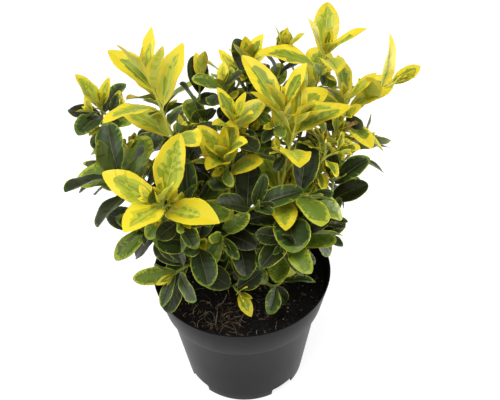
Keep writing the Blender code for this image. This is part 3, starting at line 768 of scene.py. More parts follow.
# %% Limbs
GAP = 0.0003
STEM_HEIGHT = 0.036
STEM_SHAPE = ((0.0, 0.0095), (0.08, 0.0078), (0.25, 0.0062), (0.6, 0.0054), (1.0, 0.0042))
STEM_LEAN = math.radians(6)
BOUGH_RADIUS = 0.0018
BOUGH_END_RADIUS = 0.0013
END_RING = 0.001
WAY_POINTS = (17, 61)
WAY_RISE = (0.75, math.radians(5))
WAY_PULL = (0.40, 0.35)
FRONT = Vector((0, -1, 0))
UP = Vector((0, 0, 1))


class Limb:
    """A round limb: points along its middle, and its radius at each."""

    def __init__(self, points, radii):
        self.points = [Vector(p) for p in points]
        self.radii = list(radii)
        self.marks = [0.0]
        for a, b in zip(self.points, self.points[1:]):
            self.marks.append(self.marks[-1] + (b - a).length)
        self.length = self.marks[-1]

    def spot(self, distance):
        """Point, direction and radius at this distance along the limb."""
        distance = min(max(distance, 0.0), self.length)
        last = len(self.points) - 2
        i = next((k for k in range(last) if self.marks[k + 1] >= distance), last)
        a, b = self.points[i], self.points[i + 1]
        share = (distance - self.marks[i]) / (self.marks[i + 1] - self.marks[i])
        radius = self.radii[i] + share * (self.radii[i + 1] - self.radii[i])
        return a.lerp(b, share), (b - a).normalized(), radius

    def stretch(self, start, end, count, radius, end_radius):
        """A limb along this one from start to end, with its own number of points and taper."""
        close = END_RING / (end - start)
        shares = [0.0, close] + [i / (count - 1) for i in range(1, count - 1)] + [1 - close, 1.0]
        points = [self.spot(start + s * (end - start))[0] for s in shares]
        return Limb(points, [radius + s * (end_radius - radius) for s in shares])


def main_stem():
    """The short leaning stem."""
    points = []
    for share, _ in STEM_SHAPE:
        lean = STEM_HEIGHT * math.tan(STEM_LEAN) * max(0.0, share - STEM_SHAPE[1][0])
        points.append((lean, 0.0, GROUND + GAP + share * STEM_HEIGHT))
    return Limb(points, [radius for _, radius in STEM_SHAPE])


def way_to_tip(parent, shoot, tip, radius, sunk=False):
    """The smooth line from the parent limb to a shoot's tip: the rule's own, and a finer one."""
    point, along, parent_radius = parent.spot(shoot.at * parent.length)
    way = tip - point
    outward = (way - along * way.dot(along)).normalized()
    rise = WAY_RISE[0] * math.asin(way.normalized().dot(along)) + WAY_RISE[1]
    go = outward * math.cos(rise) + along * math.sin(rise)
    clear = 0.0 if sunk else parent_radius + GAP + radius * abs(math.sin(rise))
    start = point + outward * clear
    turn = math.radians(shoot.lean)
    arrive = compass(shoot.heading, math.sin(turn), math.cos(turn))
    span = (tip - start).length
    bend = (start, start + go * span * WAY_PULL[0], tip - arrive * span * WAY_PULL[1], tip)
    return [Limb(interpolate_bezier(*bend, count), [radius] * count) for count in WAY_POINTS]


def straight_limb(point, way, length, radii):
    """A short straight limb of three points."""
    tip = point + way.normalized() * length
    return Limb([point, point.lerp(tip, 0.5), tip], radii)


def sideways(along, turn):
    """The way out of a limb at this turn round it, counted from its side."""
    across = along.cross(FRONT).normalized()
    return across * math.cos(turn) + along.cross(across) * math.sin(turn)


# %% Leaves as plain shapes
PAIR_LENGTH = (0.44, 0.74, 0.98, 1.00, 0.94, 0.86, 0.80, 0.76, 0.72)
PAIR_SPREAD = (16, 30, 47, 60, 70, 78, 84, 88, 90)
PAIR_CURL = (4, 12, 22, 30, 32, 34, 36, 38, 40)
PAIR_ASPECT = (0.34, 0.37, 0.41, 0.45, 0.51, 0.57, 0.58, 0.58, 0.58)
LEAF_FOLD = math.radians(12)
FOOT_POWER = 0.80
TIP_POWER = 0.62
LIGHT_TURN = 0.45
TURN_JITTER = 5
SPREAD_JITTER = 4
CURL_JITTER = 6
LEAST_CURL = 2.0
LENGTH_RANGE = (0.92, 1.05)
WIDTH_RANGE = (0.92, 1.08)
FOLD_RANGE = (0.6, 1.5)


def outline(along, foot_power, tip_power):
    """The share of the full half-width at this share along a blade, or at several."""
    widest = foot_power / (foot_power + tip_power)
    peak = widest**foot_power * (1 - widest) ** tip_power
    return along**foot_power * (1 - along) ** tip_power / peak


@dataclass
class Leaf:
    """A blade: where its foot is, the ways it points and faces, and its size."""

    foot: Vector
    ahead: Vector
    face: Vector
    length: float
    half_width: float
    curl: float
    fold: float
    pair: int
    gold: bool
    kind: str = ""

    def place(self, along, across, lift=0.0):
        """A point of the blade: along from foot 0 to tip 1, across from edge -1 to edge 1."""
        half = self.half_width * outline(along, FOOT_POWER, TIP_POWER)
        bend = self.curl * along
        forward = self.length * math.sin(bend) / self.curl
        drop = self.length * (1 - math.cos(bend)) / self.curl
        rise = half * abs(across) * math.sin(self.fold) + lift
        side = self.face.cross(self.ahead)
        return (
            self.foot
            + self.ahead * (forward + rise * math.sin(bend))
            + side * (half * across * math.cos(self.fold))
            + self.face * (rise * math.cos(bend) - drop)
        )

def leaf_at(spot, around, spread, length, wide, pair, gold, dice):
    """A leaf of this pair, at this turn round the stem and angle off it."""
    point, along, radius = spot
    out = sideways(along, math.radians(around + dice.gauss(0, TURN_JITTER)))
    off = math.radians(spread + dice.gauss(0, SPREAD_JITTER))
    ahead = along * math.cos(off) + out * math.sin(off)
    face = along * math.sin(off) - out * math.cos(off) + UP * LIGHT_TURN
    face = (face - ahead * face.dot(ahead)).normalized()
    long = length * dice.uniform(*LENGTH_RANGE)
    return Leaf(
        foot=point - ahead * radius / 2,
        ahead=ahead,
        face=face,
        length=long,
        half_width=long * wide * PAIR_ASPECT[pair] / 2 * dice.uniform(*WIDTH_RANGE),
        curl=math.radians(max(LEAST_CURL, PAIR_CURL[pair] + dice.gauss(0, CURL_JITTER))),
        fold=LEAF_FOLD * dice.uniform(*FOLD_RANGE),
        pair=pair,
        gold=gold,
    )


# %% Shapes to look for touches with
LEAF_SIDES = 6
SMALL_LEAF = 0.024
SMALL_LEAF_SIDES = 4
LIMB_SIDES = 6
TEST_SWELL = 1.05
TEST_THICKNESS = 0.0016


def test_tree(leaf):
    """The leaf as a flattened ball of a few sides, a little swollen."""
    ball = bmesh.new()
    sides = SMALL_LEAF_SIDES if leaf.length < SMALL_LEAF else LEAF_SIDES
    bmesh.ops.create_uvsphere(ball, u_segments=sides, v_segments=2, radius=1.0)
    for corner in ball.verts:
        x, y, z = corner.co
        along = min(max((1 + y * TEST_SWELL) / 2, 0.0), 1.0)
        across = 0.0 if abs(x) < 0.1 else math.copysign(TEST_SWELL, -x)
        corner.co = leaf.place(along, across, z * TEST_THICKNESS / 2)
    ball.normal_update()
    tree = BVHTree.FromBMesh(ball)
    ball.free()
    return tree


def limb_tree(limb):
    """A limb as a six-sided tube, a little swollen."""
    tube = bmesh.new()
    for i, (a, b) in enumerate(zip(limb.points, limb.points[1:])):
        turn = (b - a).to_track_quat("Z", "Y").to_matrix().to_4x4()
        bmesh.ops.create_cone(
            tube, cap_ends=True, segments=LIMB_SIDES, depth=(b - a).length,
            radius1=limb.radii[i] + GAP, radius2=limb.radii[i + 1] + GAP,
            matrix=Matrix.Translation((a + b) / 2) @ turn,
        )
    tree = BVHTree.FromBMesh(tube)
    tube.free()
    return tree


class Space:
    """What already stands in the crown, by owner and kind."""

    def __init__(self):
        self.taken = []

    def add(self, owner, tree, kind="limb"):
        self.taken.append((owner, kind, tree))

    def is_free(self, tree, owner):
        """True where the shape touches nothing of another owner."""
        return not any(other != owner and tree.overlap(there) for other, _, there in self.taken)

    def is_clear(self, tree, stem_owners):
        """True where the shape touches nothing at all but the limbs of these owners."""
        return not any(
            tree.overlap(there)
            for other, kind, there in self.taken
            if not (kind == "limb" and other in stem_owners)
        )


# %% Limbs of every mass
LEAFLESS_FOOT = 0.005
LEAF_NORM = 0.050
INTERNODES = (0.001, 0.003, 0.006, 0.012, 0.019, 0.022, 0.022, 0.022, 0.022)
SHOOT_RADIUS = 0.0012
TIP_RADIUS = 0.0008
BOUGH_POINTS = 4
SHOOT_POINTS = 4
FINE_BOUGH_POINTS = 33
FINE_LEAD_POINTS = 41
FINE_TWIG_POINTS = 21
SHORTEST_BOUGH = 0.25


def pair_marks(shoot):
    """Distances of the leaf pairs from the shoot's tip."""
    scale = shoot.stretch * shoot.leaf / LEAF_NORM
    marks, distance = [], 0.0
    for gap in INTERNODES[: shoot.pairs]:
        distance += gap * scale
        marks.append(distance)
    return marks


@dataclass
class Mass:
    """The limbs and leaves of one mass, and the bough under it."""

    shoot: Shoot
    bough: Limb
    lead: Limb
    fine_bough: Limb
    dice: random.Random
    leafy: list
    leaves: list = field(default_factory=list)


def grow_limbs(space):
    """The main stem, and every mass with its bough, its lead shoot and its side shoots."""
    stem = main_stem()
    space.add("stem", limb_tree(stem))
    masses = []
    for shoot in MASSES:
        tip = compass(shoot.azimuth, shoot.reach, GROUND + shoot.height)
        way, fine = way_to_tip(stem, shoot, tip, BOUGH_RADIUS)
        leafy = pair_marks(shoot)[-1] + LEAFLESS_FOOT
        fork = max(way.length - leafy, way.length * SHORTEST_BOUGH)
        bough = way.stretch(0, fork, BOUGH_POINTS, BOUGH_RADIUS, BOUGH_END_RADIUS)
        lead = way.stretch(fork + GAP, way.length, SHOOT_POINTS, SHOOT_RADIUS, TIP_RADIUS)
        space.add(shoot.name + "_bough", limb_tree(bough))
        space.add(shoot.name, limb_tree(lead))
        fork = fork * fine.length / way.length
        fine_bough = fine.stretch(0, fork, FINE_BOUGH_POINTS, BOUGH_RADIUS, BOUGH_END_RADIUS)
        fine_lead = fine.stretch(fork, fine.length, FINE_LEAD_POINTS, BOUGH_END_RADIUS, TIP_RADIUS)
        dice = random.Random(f"{shoot.name} {shoot.seed}")
        masses.append(Mass(shoot, bough, lead, fine_bough, dice, [(shoot, lead, fine_lead)]))
    for mass in masses:
        for side in mass.shoot.sides:
            tip = compass(side.azimuth, side.reach, GROUND + side.height)
            way, fine = way_to_tip(mass.lead, side, tip, SHOOT_RADIUS, sunk=True)
            add_twig(space, mass, side, way, fine)
    return stem, masses


def add_twig(space, mass, shoot, way, fine):
    """Adds a twig to a mass, unless it would touch another mass or a limb."""
    twig = way.stretch(0, way.length, SHOOT_POINTS - 1, SHOOT_RADIUS, TIP_RADIUS)
    tree = limb_tree(twig)
    if space.is_free(tree, mass.shoot.name):
        space.add(mass.shoot.name, tree)
        fine = fine.stretch(0, fine.length, FINE_TWIG_POINTS, SHOOT_RADIUS, TIP_RADIUS)
        mass.leafy.append((shoot, twig, fine))


# %% Twigs and leaves of every mass
FIRST_TWIG_PAIR = 3
TWIG_LIFT = 0.8
TWIG_RISE = 0.3
TWIG_CHANCE = 0.18
TWIG_LENGTH = 0.020
TWIG_LEAF = 0.55
TWIG_PAIRS = 3
BUD_PAIRS = 1
SECOND_TRIES = (
    (0, 0, 1.0), (14, 0, 1.0), (-14, 0, 1.0), (0, -14, 0.95), (0, 14, 0.95), (0, 0, 0.8),
)


def axil_twig(limb, shoot, pair, mark, dice):
    """A short straight twig in a leaf axil, from the limb outwards and up."""
    point, along, _ = limb.spot(limb.length - mark)
    out = sideways(along, math.radians(shoot.roll + 90 * pair + dice.choice((0, 180))))
    way = out + along * TWIG_LIFT + UP * TWIG_RISE
    return straight_limb(point, way, TWIG_LENGTH, [SHOOT_RADIUS] * 3)


def grow_twigs(space, mass):
    """Side twigs in some leaf axils of the lead shoot, by the mass's dice."""
    shoot = mass.shoot
    for pair, mark in enumerate(pair_marks(shoot)):
        if pair >= FIRST_TWIG_PAIR and mass.dice.random() <= TWIG_CHANCE:
            way = axil_twig(mass.lead, shoot, pair, mark, mass.dice)
            side = Shoot(
                "twig", 0, 0, 0, 0, 0, shoot.leaf * TWIG_LEAF, TWIG_PAIRS,
                gold=max(0, shoot.gold - pair + 2), roll=mass.dice.uniform(0, 180), wide=1.0,
            )
            add_twig(space, mass, side, way, way)


def grow_pair(space, mass, shoot, limb, fine, pair, mark):
    """Two opposite leaves, each left out where it finds no room."""
    spot = limb.spot(limb.length - mark)
    shift = fine.spot(fine.length - mark)[0] - spot[0]
    length = shoot.leaf * PAIR_LENGTH[pair]
    for half in (0, 180):
        if 2 * pair + half // 180 in shoot.fallen:
            continue
        state = mass.dice.getstate()
        for turn, open_more, size in SECOND_TRIES:
            mass.dice.setstate(state)
            leaf = leaf_at(
                spot, shoot.roll + 90 * pair + half + turn,
                PAIR_SPREAD[pair] * shoot.spread + open_more,
                length * size, shoot.wide, pair, pair < shoot.gold, mass.dice,
            )
            tree = test_tree(leaf)
            if space.is_free(tree, mass.shoot.name):
                space.add(mass.shoot.name, tree, "leaf")
                leaf.foot = leaf.foot + shift
                leaf.kind = mass.shoot.name
                mass.leaves.append(leaf)
                break


def grow_leaves(space, masses):
    """All leaves, the young pairs of every mass first."""
    for mass in masses:
        grow_twigs(space, mass)
    for pair in range(BUD_PAIRS, len(INTERNODES)):
        for mass in masses:
            for shoot, limb, fine in mass.leafy:
                marks = pair_marks(shoot)
                if pair < len(marks) and marks[pair] < limb.length:
                    grow_pair(space, mass, shoot, limb, fine, pair, marks[pair])


# %% Grow the plant
crown = Space()
stem, masses = grow_limbs(crown)
grow_leaves(crown, masses)
print("masses:", len(masses), "leaves:", sum(len(mass.leaves) for mass in masses))

# %% [markdown]
# ## Finer growth
#
# The solids stop at the main leaves. The real shoot goes on: two pairs of small leaves are
# still folded round each bud, and short spurs with small leaves fill the inside of the crown.
# They come from dice of their own, so that the leaves above stay where they are, and each spur
# is tried against everything that already stands there.

# %% Buds and spurs
SPUR_TRIES = 9
SPUR_PAIRS = 3
SPUR_WIDE = 1.35
SPUR_SEED = "spurs"
SPUR_LIFT = (0.2, 0.9)
SPUR_RISE = 0.35
SPUR_SHARES = (0.95, 0.8, 0.65, 0.5)
SPUR_RADII = (SHOOT_RADIUS * 0.8, SHOOT_RADIUS * 0.7, TIP_RADIUS * 0.8)
SPUR_SIZES = (0.012, 0.028, 0.026, 0.042)
AXIL_SIZES = (0.006, 0.013, 0.016, 0.026)
AXIL_SHARES = (0.30, 0.52, 0.70)
CURLY_SHARES = (0.20, 0.32, 0.44, 0.56, 0.68, 0.80)
LOW_SHOOT = 0.090
SHORT_BOUGH = 0.03
INNER_REACH = 0.05
HIGH_SHARE = 0.6
BUD_LAYERS = ((0.9, 1.0, 0), (0.3, 0.6, 90))


def grow_buds(mass):
    """The smallest pairs at each tip, folded one inside the other."""
    dice = random.Random(mass.shoot.name + " buds")
    for shoot, limb, fine in mass.leafy:
        spot = fine.spot(fine.length - pair_marks(shoot)[0])
        for opening, size, turn in BUD_LAYERS:
            for half in (turn, turn + 180):
                leaf = leaf_at(
                    spot, shoot.roll + half, PAIR_SPREAD[0] * shoot.spread * opening,
                    shoot.leaf * PAIR_LENGTH[0] * size, shoot.wide, 0, shoot.gold > 0, dice,
                )
                leaf.kind = mass.shoot.name
                mass.leaves.append(leaf)


def grow_spur(space, mass, limb, share, sizes, young, dice):
    """A short spur of small leaves on a limb, where there is room. Returns how many it got."""
    point, along, _ = limb.spot(limb.length * share)
    out = sideways(along, dice.uniform(0, math.tau))
    length = dice.uniform(*sizes[:2])
    way = out + along * dice.uniform(*SPUR_LIFT) + UP * SPUR_RISE
    leaf_size = dice.uniform(*sizes[2:])
    spur = straight_limb(point, way, length, SPUR_RADII)
    owners = {mass.shoot.name, mass.shoot.name + "_bough"}
    if not space.is_clear(limb_tree(spur), owners):
        return 0
    side = Shoot("spur", 0, 0, 0, 0, 0, leaf_size, SPUR_PAIRS + 1, gold=young, stretch=0.8)
    found, roll = [], dice.uniform(0, 180)
    for pair, mark in enumerate(pair_marks(side)):
        if mark > spur.length:
            break
        for half in (0, 180):
            leaf = leaf_at(
                spur.spot(spur.length - mark), roll + 90 * pair + half, PAIR_SPREAD[pair],
                leaf_size * PAIR_LENGTH[pair], SPUR_WIDE, pair, pair < young, dice,
            )
            leaf.kind = mass.shoot.name if young else "spur"
            tree = test_tree(leaf)
            if pair == 0 or space.is_clear(tree, owners):
                found.append((leaf, tree))
    if len(found) < 3:
        return 0
    space.add(mass.shoot.name, limb_tree(spur))
    for leaf, tree in found:
        space.add(mass.shoot.name, tree, "leaf")
        mass.leaves.append(leaf)
    mass.leafy.append((side, spur, spur))
    return len(found)


def try_spurs(mass, limb, share, sizes, young):
    """A few tries at one spur. Returns how many leaves it got."""
    for _ in range(SPUR_TRIES):
        grown = grow_spur(crown, mass, limb, share, sizes, young, spur_dice)
        if grown:
            return grown
    return 0


for mass in masses:
    grow_buds(mass)
spur_dice = random.Random(SPUR_SEED)
spur_leaves = 0
for share in SPUR_SHARES:
    for mass in masses:
        low_in_front = mass.shoot.height < LOW_SHOOT and abs(mass.shoot.azimuth) < 90
        too_small = mass.bough.length <= SHORT_BOUGH or mass.shoot.reach <= INNER_REACH
        if not low_in_front and not too_small:
            young = 1 if mass.shoot.gold > 2 and share > HIGH_SHARE else 0
            spur_leaves += try_spurs(mass, mass.fine_bough, share, SPUR_SIZES, young)
for mass in masses:
    if mass.shoot.gold > 2:
        shares = CURLY_SHARES if mass.shoot.name == "right_curly" else AXIL_SHARES
        for _, _, fine in list(mass.leafy):
            for share in shares:
                spur_leaves += try_spurs(mass, fine, share, AXIL_SIZES, 2)
print("spur leaves:", spur_leaves, "all leaves:", sum(len(mass.leaves) for mass in masses))

# %% [markdown]
# ## Bark and green stems
#
# The short main stem is grey-brown and furrowed, the boughs are ridged and turn from brown to
# green as they rise, and the young shoots are smooth and yellow-green. Curves with a radius at
# each knot are the natural way to model limbs. They are made meshes, and a displacement gives
# the furrows, so that the relief is in the shape and not only in the shading.


# %% Finishes of the limbs
old_bark = grained("old_bark", "6b5842", 0.85, 0.3, (240.0, 6.0, (1, 1, 0.25)), (0.8, 0.0012),
                   ((0.35, "3b2d20"), (0.55, "6d5a43"), (0.75, "94835f")))
bough_skin = grained("bough_skin", "6f7a35", 0.6, 0.35, (420.0, 5.0, (1, 1, 0.3)), (0.6, 0.0008),
                     ((0.33, "4a4526"), (0.5, "6b7433"), (0.7, "8b9440")))
twig_skins = [
    grained(name, code, 0.5, 0.4, (500.0, 3.0, (1, 1, 0.4)), (0.35, 0.0005))
    for name, code in (("twig_old", "6e7a32"), ("twig_green", "8f9d36"), ("twig_gold", "b5b545"))
]
print("limb finishes:", 2 + len(twig_skins))

# %% Model the main stem and boughs
BURIED = 0.004
STEM_KNOTS = 44
STEM_FLARE = 1.06
STEM_CAP = ((0.0012, 0.85), (0.0020, 0.5), (0.0023, 0.1))
BOUGH_PITCH = 0.0015
BOUGH_FLARE = 1.5


def knots(limb, steps):
    """Evenly spaced places along a limb: the distance, the point and the radius of each."""
    for step in range(steps + 1):
        distance = limb.length * step / steps
        point, _, radius = limb.spot(distance)
        yield distance, point, radius


def stem_run():
    """The main stem, flared at its foot under the crumbs, and round at the top."""
    points, radii = [stem.points[0] - UP * BURIED], [stem.radii[0] * STEM_FLARE]
    for _, point, radius in knots(stem, STEM_KNOTS):
        points.append(point)
        radii.append(radius)
    top = points[-1]
    for rise, shrink in STEM_CAP:
        points.append(top + UP * rise)
        radii.append(stem.radii[-1] * shrink)
    return points, radii, 0


def bough_run(fine):
    """A bough, sunk into the stem at its foot and thicker there."""
    start, along, _ = fine.spot(0)
    points, radii = [start - along * BURIED], [BOUGH_RADIUS * BOUGH_FLARE]
    steps = max(12, int(fine.length / BOUGH_PITCH))
    for step, (_, point, radius) in enumerate(knots(fine, steps)):
        points.append(point)
        radii.append(radius * (1 + 0.5 * math.exp(-step / 2.5)))
    return points, radii, 0


def barked(name, runs, bevel_resolution, skin, furrow_size, furrow_depth):
    """Limbs as one piece, its surface moved in and out by a cloud pattern."""
    furrows = bpy.data.textures.new(name + "_furrows", "CLOUDS")
    furrows.noise_scale = furrow_size
    furrows.noise_depth = 4
    piece = curve_piece(name, runs, bevel_resolution, [skin])
    applied(piece, "DISPLACE", texture=furrows, strength=furrow_depth, mid_level=0.6,
            texture_coords="LOCAL")
    bpy.ops.object.shade_smooth()
    return piece


stem_bark = barked("main_stem_bark", [stem_run()], 14, old_bark, 0.004, 0.0011)
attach(stem_bark, "root")
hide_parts("main_stem")
bough_runs = [bough_run(mass.fine_bough) for mass in masses]
bough_bark = barked("bough_bark", bough_runs, 4, bough_skin, 0.0022, 0.00045)
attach(bough_bark, "root")
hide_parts(*["bough_" + mass.shoot.name for mass in masses])
print("bark faces:", len(stem_bark.data.polygons), len(bough_bark.data.polygons))


# %% Model the twigs
NODE_SWELL = 0.35
NODE_WIDTH = 0.0016
TWIG_PITCH = 0.0018


def twig_run(shoot, fine):
    """One twig, thicker where each leaf pair stands. The younger it is, the more golden."""
    marks = [fine.length - mark for mark in pair_marks(shoot)]
    points, radii = [], []
    for distance, point, radius in knots(fine, max(6, int(fine.length / TWIG_PITCH))):
        near = min((abs(distance - mark) for mark in marks), default=1.0)
        points.append(point)
        radii.append(radius * (1 + NODE_SWELL * math.exp(-((near / NODE_WIDTH) ** 2))))
    number = 2 if shoot.gold > 2 else 1 if shoot.gold > 0 or shoot.name != "spur" else 0
    return points, radii, number


twig_faces = 0
for mass in masses:
    runs = [twig_run(shoot, fine) for shoot, _, fine in mass.leafy]
    twigs = curve_piece("twigs_" + mass.shoot.name, runs, 2, twig_skins)
    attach(twigs, "root")
    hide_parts("foliage_" + mass.shoot.name)
    twig_faces += len(twigs.data.polygons)
print("twig faces:", twig_faces)

# %% [markdown]
# ## Leaf colours
#
# A leaf of this shrub is variegated: a ragged green middle inside a golden margin. The young
# gold leaves are nearly all margin. On the old leaves the margin is only a thin line and the
# middle is almost black. A pattern painted over the whole mesh would slide off the veins, so
# each patch of the blade is its own face with its own plain colour. Fine veins and the leathery
# skin are relief only, on the leaf's own map.


# %% Mix the leaf colours
LEAF_COLOURS = {
    "rim": "dcc722 d4c120",
    "gold": "cfbc1b c6b51a d5c424",
    "gold_soft": "b8ae20 aea821",
    "lime": "949d24 889523 9ea427",
    "lime_pale": "a5ac2e aeb336",
    "moss": "879325 7f8d25",
    "mid": "798824 6f7f23",
    "fleck": "637427 6b7c29",
    "edge": "b0b338 9da433 c0bb3c",
    "green": "556925 4a6021 607429",
    "forest": "36471f 2f3f1d",
    "dark": "272e15 2d3417 212813",
    "deep": "181b0f 1d2011",
    "rib": "6b7742 7a834e",
    "gold_rib": "c4c244 b4b63e",
    "under": "66743a 5c6a35",
    "straw": "b09a4c a18845",
    "dry": "80622f 6b5029",
    # The gold undersides' edge is pale yellow, brightened further as painted light that stands in
    # for light shining through the leaf.
    "gold_under": "d9c93a cfbf36",
    "pale_under": "b4b74a a8ad47",
}
SATIN = "rim gold gold_soft lime lime_pale gold_rib gold_under pale_under under".split()
SATIN_SKIN = (0.50, 0.36, 0.25)
WAXY_SKIN = (0.39, 0.18, 0.35)
VEIN_COUNT = 7.0
VEIN_SLOPE = 0.28


def maths(tree, operation, *values):
    """The result of one sum over sockets and numbers."""
    node = tree.nodes.new("ShaderNodeMath")
    node.operation = operation
    for socket, value in zip(node.inputs, values):
        plug(tree, socket, value)
    return node.outputs["Value"]


def vein_relief(tree, shader, strength):
    """Side veins that leave the midrib forward, and a fine leathery grain."""
    uv = tree.nodes.new("ShaderNodeUVMap")
    uv.uv_map = "blade"
    split = feed(tree, tree.nodes.new("ShaderNodeSeparateXYZ"), Vector=uv.outputs["UV"])
    across = maths(tree, "ABSOLUTE", maths(tree, "SUBTRACT", split.outputs["X"], 0.5))
    slope = maths(tree, "MULTIPLY_ADD", across, -VEIN_SLOPE, split.outputs["Y"])
    veins = maths(tree, "SINE", maths(tree, "MULTIPLY", slope, VEIN_COUNT * math.tau))
    height = maths(tree, "MULTIPLY_ADD", veins, 0.5, noise_on_object(tree, 900.0, 2.0))
    bump(tree, shader, height, strength, 0.0003)


leaf_paints, tints = [], {}
for colour, codes in LEAF_COLOURS.items():
    roughness, specular, relief = SATIN_SKIN if colour in SATIN else WAXY_SKIN
    tints[colour] = []
    for number, code in enumerate(codes.split(), 1):
        material, tree, shader = finish(f"leaf_{colour}_{number}", code, roughness, specular)
        vein_relief(tree, shader, relief)
        tints[colour].append(len(leaf_paints))
        leaf_paints.append(material)
print("leaf tints:", len(leaf_paints))


# %% Kinds of leaf
@dataclass
class Look:
    """How the colours lie on a kind of leaf.

    bands names the colours from the edge to the midrib, each as its usual colour and, after a
    slash, what takes its place in streaks. under is the underside's edge, its middle and the
    streaks there. Widths are shares of the half-width: green is where the green begins, depth
    how far in it is at its full depth, ragged how much both wander, and line the edge line.
    The green ends at reach along the leaf and narrows towards it by the power fade.
    """

    bands: str
    green: tuple
    depth: tuple
    reach: tuple
    fade: float
    ragged: float
    streaks: float
    tip_power: float
    foot_power: float = 0.78
    line: float = 0.06
    wave: float = 0.0010
    fold: float = 1.0
    rib: str = "gold_rib"
    # The gold underside's edge colour carries painted light shining through the leaf.
    under: str = "gold_under pale_under lime_pale"

    def colours(self):
        """The usual colours from the edge to the midrib, and those of the streaks."""
        pairs = [(band.split("/") * 2)[:2] for band in self.bands.split()]
        return zip(*pairs)


GREEN_BACK = {"rib": "rib", "under": "edge under green"}
GOLD_BRIGHT = Look("rim gold gold_soft/lime_pale lime/moss lime_pale/lime",
                   (0.50, 0.72), (0.5, 0.75), (0.70, 0.88), 0.6, 0.16, 0.34, 0.84, fold=1.3)
GOLD_GREEN = Look("rim gold lime_pale/lime lime/moss moss/lime",
                  (0.60, 0.76), (0.62, 0.84), (0.80, 0.92), 0.42, 0.11, 0.32, 0.76)
GOLD_FLECKED = Look("rim gold moss/lime mid/fleck moss/mid",
                    (0.50, 0.72), (0.55, 0.8), (0.72, 0.88), 0.5, 0.15, 0.35, 0.80, 0.80, fold=1.1)
TURNING = Look("edge/rim lime/mid mid/green green/mid green",
               (0.80, 0.92), (0.60, 0.82), (0.84, 0.95), 0.25, 0.08, 0.25, 0.62, wave=0.0011,
               **GREEN_BACK)
GREEN = Look("edge green/mid forest/green forest dark",
             (0.86, 0.95), (0.60, 0.82), (0.86, 0.96), 0.2, 0.06, 0.25, 0.62, line=0.055,
             **GREEN_BACK)
DARK = Look("edge forest/green dark/forest dark dark/deep",
            (0.90, 0.96), (0.70, 0.9), (0.90, 0.97), 0.16, 0.05, 0.2, 0.60, line=0.05, wave=0.0009,
            **GREEN_BACK)
DEEP = Look("edge/green dark/forest dark/deep deep deep/dark",
            (0.92, 0.97), (0.70, 0.9), (0.92, 0.98), 0.14, 0.04, 0.2, 0.60, line=0.035,
            wave=0.0009, **GREEN_BACK)
CURLY = Look("rim/edge gold/gold_soft lime/gold_soft mid/green green/mid",
             (0.66, 0.82), (0.6, 0.8), (0.80, 0.92), 0.35, 0.12, 0.30, 0.60, 0.72, line=0.08,
             wave=0.0030, fold=1.5)
DRY = replace(CURLY, bands="straw dry/straw dry/mid dry/straw straw/dry", streaks=0.35,
              wave=0.0042, fold=2.0, rib="straw", under="straw dry dry")
DRY_SHARE = 0.12


def look_of(leaf, gold_pairs, dice):
    """The kind of leaf this one is."""
    if leaf.kind == "right_curly":
        return DRY if dice.random() < DRY_SHARE else CURLY
    if leaf.gold and leaf.pair <= 1:
        return dice.choice((GOLD_BRIGHT, GOLD_BRIGHT, GOLD_FLECKED))
    if leaf.gold and leaf.pair <= 3:
        return dice.choice((GOLD_BRIGHT, GOLD_GREEN, GOLD_GREEN, GOLD_FLECKED))
    if leaf.gold:
        return dice.choice((GOLD_GREEN, GOLD_FLECKED))
    if leaf.pair <= 2 or leaf.pair - gold_pairs < 1:
        return dice.choice((TURNING, GREEN, GREEN, DARK))
    return dice.choice((GREEN, DARK, DARK, DARK, DEEP, DEEP, TURNING))


# %% [markdown]
# ## One leaf
#
# A leaf is a thin stiff blade, folded along its midrib, wavy at the edge and curled down at
# the tip. One blade could be drawn by hand and copied, but then all leaves would be the same.
# So a blank of rows and columns is laid out once for each size. Every leaf bends its own copy
# of it and moves the columns to where its own colours meet.

# %% The leaf blank
HALF_BANDS = 5
TOP_COLUMNS = 2 * HALF_BANDS + 2
UNDER_RIGHT = [TOP_COLUMNS - 2, TOP_COLUMNS - 3]
UNDER_LEFT = [2, 1]
UNDER_DEPTHS = np.array((0.2, 0.5, 1.0, 0.5, 0.2))
ROW = TOP_COLUMNS + len(UNDER_DEPTHS)
UNDER = (*range(TOP_COLUMNS - 1, ROW), 0)
STALK = 0.085
STALK_HALF = 0.00075
RIB_HALF = 0.00020
ROWS = {"long": 27, "short": 16, "small": 9}


def stations(count):
    """Shares along a leaf: three on the stalk, the others closer together at the tip."""
    steps = [math.sin(math.pi / 2 * i / count) ** 0.92 for i in range(count + 1)]
    return np.array([0.0, STALK * 0.6] + [STALK + (1 - STALK) * step for step in steps])


def blank_faces(rows):
    """The faces of one blade: the bands above, six strips below, and a cap at each end."""
    faces, bands = [], []
    for row in range(rows - 1):
        low, high = row * ROW, (row + 1) * ROW
        for k in range(TOP_COLUMNS - 1):
            faces.append((low + k, high + k, high + k + 1, low + k + 1))
            bands.append((min(k, TOP_COLUMNS - 2 - k), row, k > HALF_BANDS))
        for strip, (first, second) in enumerate(zip(UNDER, UNDER[1:])):
            faces.append((high + first, high + second, low + second, low + first))
            bands.append(("keel" if strip in (2, 3) else "under", row, strip < 3))
    last = (rows - 1) * ROW
    faces.append(tuple(range(ROW)))
    bands.append(("keel", 0, False))
    faces.append(tuple(last + k for k in reversed(range(ROW))))
    bands.append(("keel", rows - 2, True))
    return faces, bands


BLANKS = {}
for size, count in ROWS.items():
    shares = stations(count)
    BLANKS[size] = (shares, *blank_faces(len(shares)))
    print(size, "leaf faces:", len(BLANKS[size][1]))


# %% Where the colours of a leaf meet
LONG_LEAF = 0.030
SMALL_BLADE = 0.016
STALK_LEAF = 0.035
TYPICAL_LEAF = 0.045
SIDE_LEAN = 0.15
ROUGH_CARRY = 0.6
LINE_RAGGED = 0.25
LINE_LIMITS = (0.86, 0.985)
BAND_GAPS = ((0.012, 0.01), (0.008, 0.003), (0.004, 0.002))


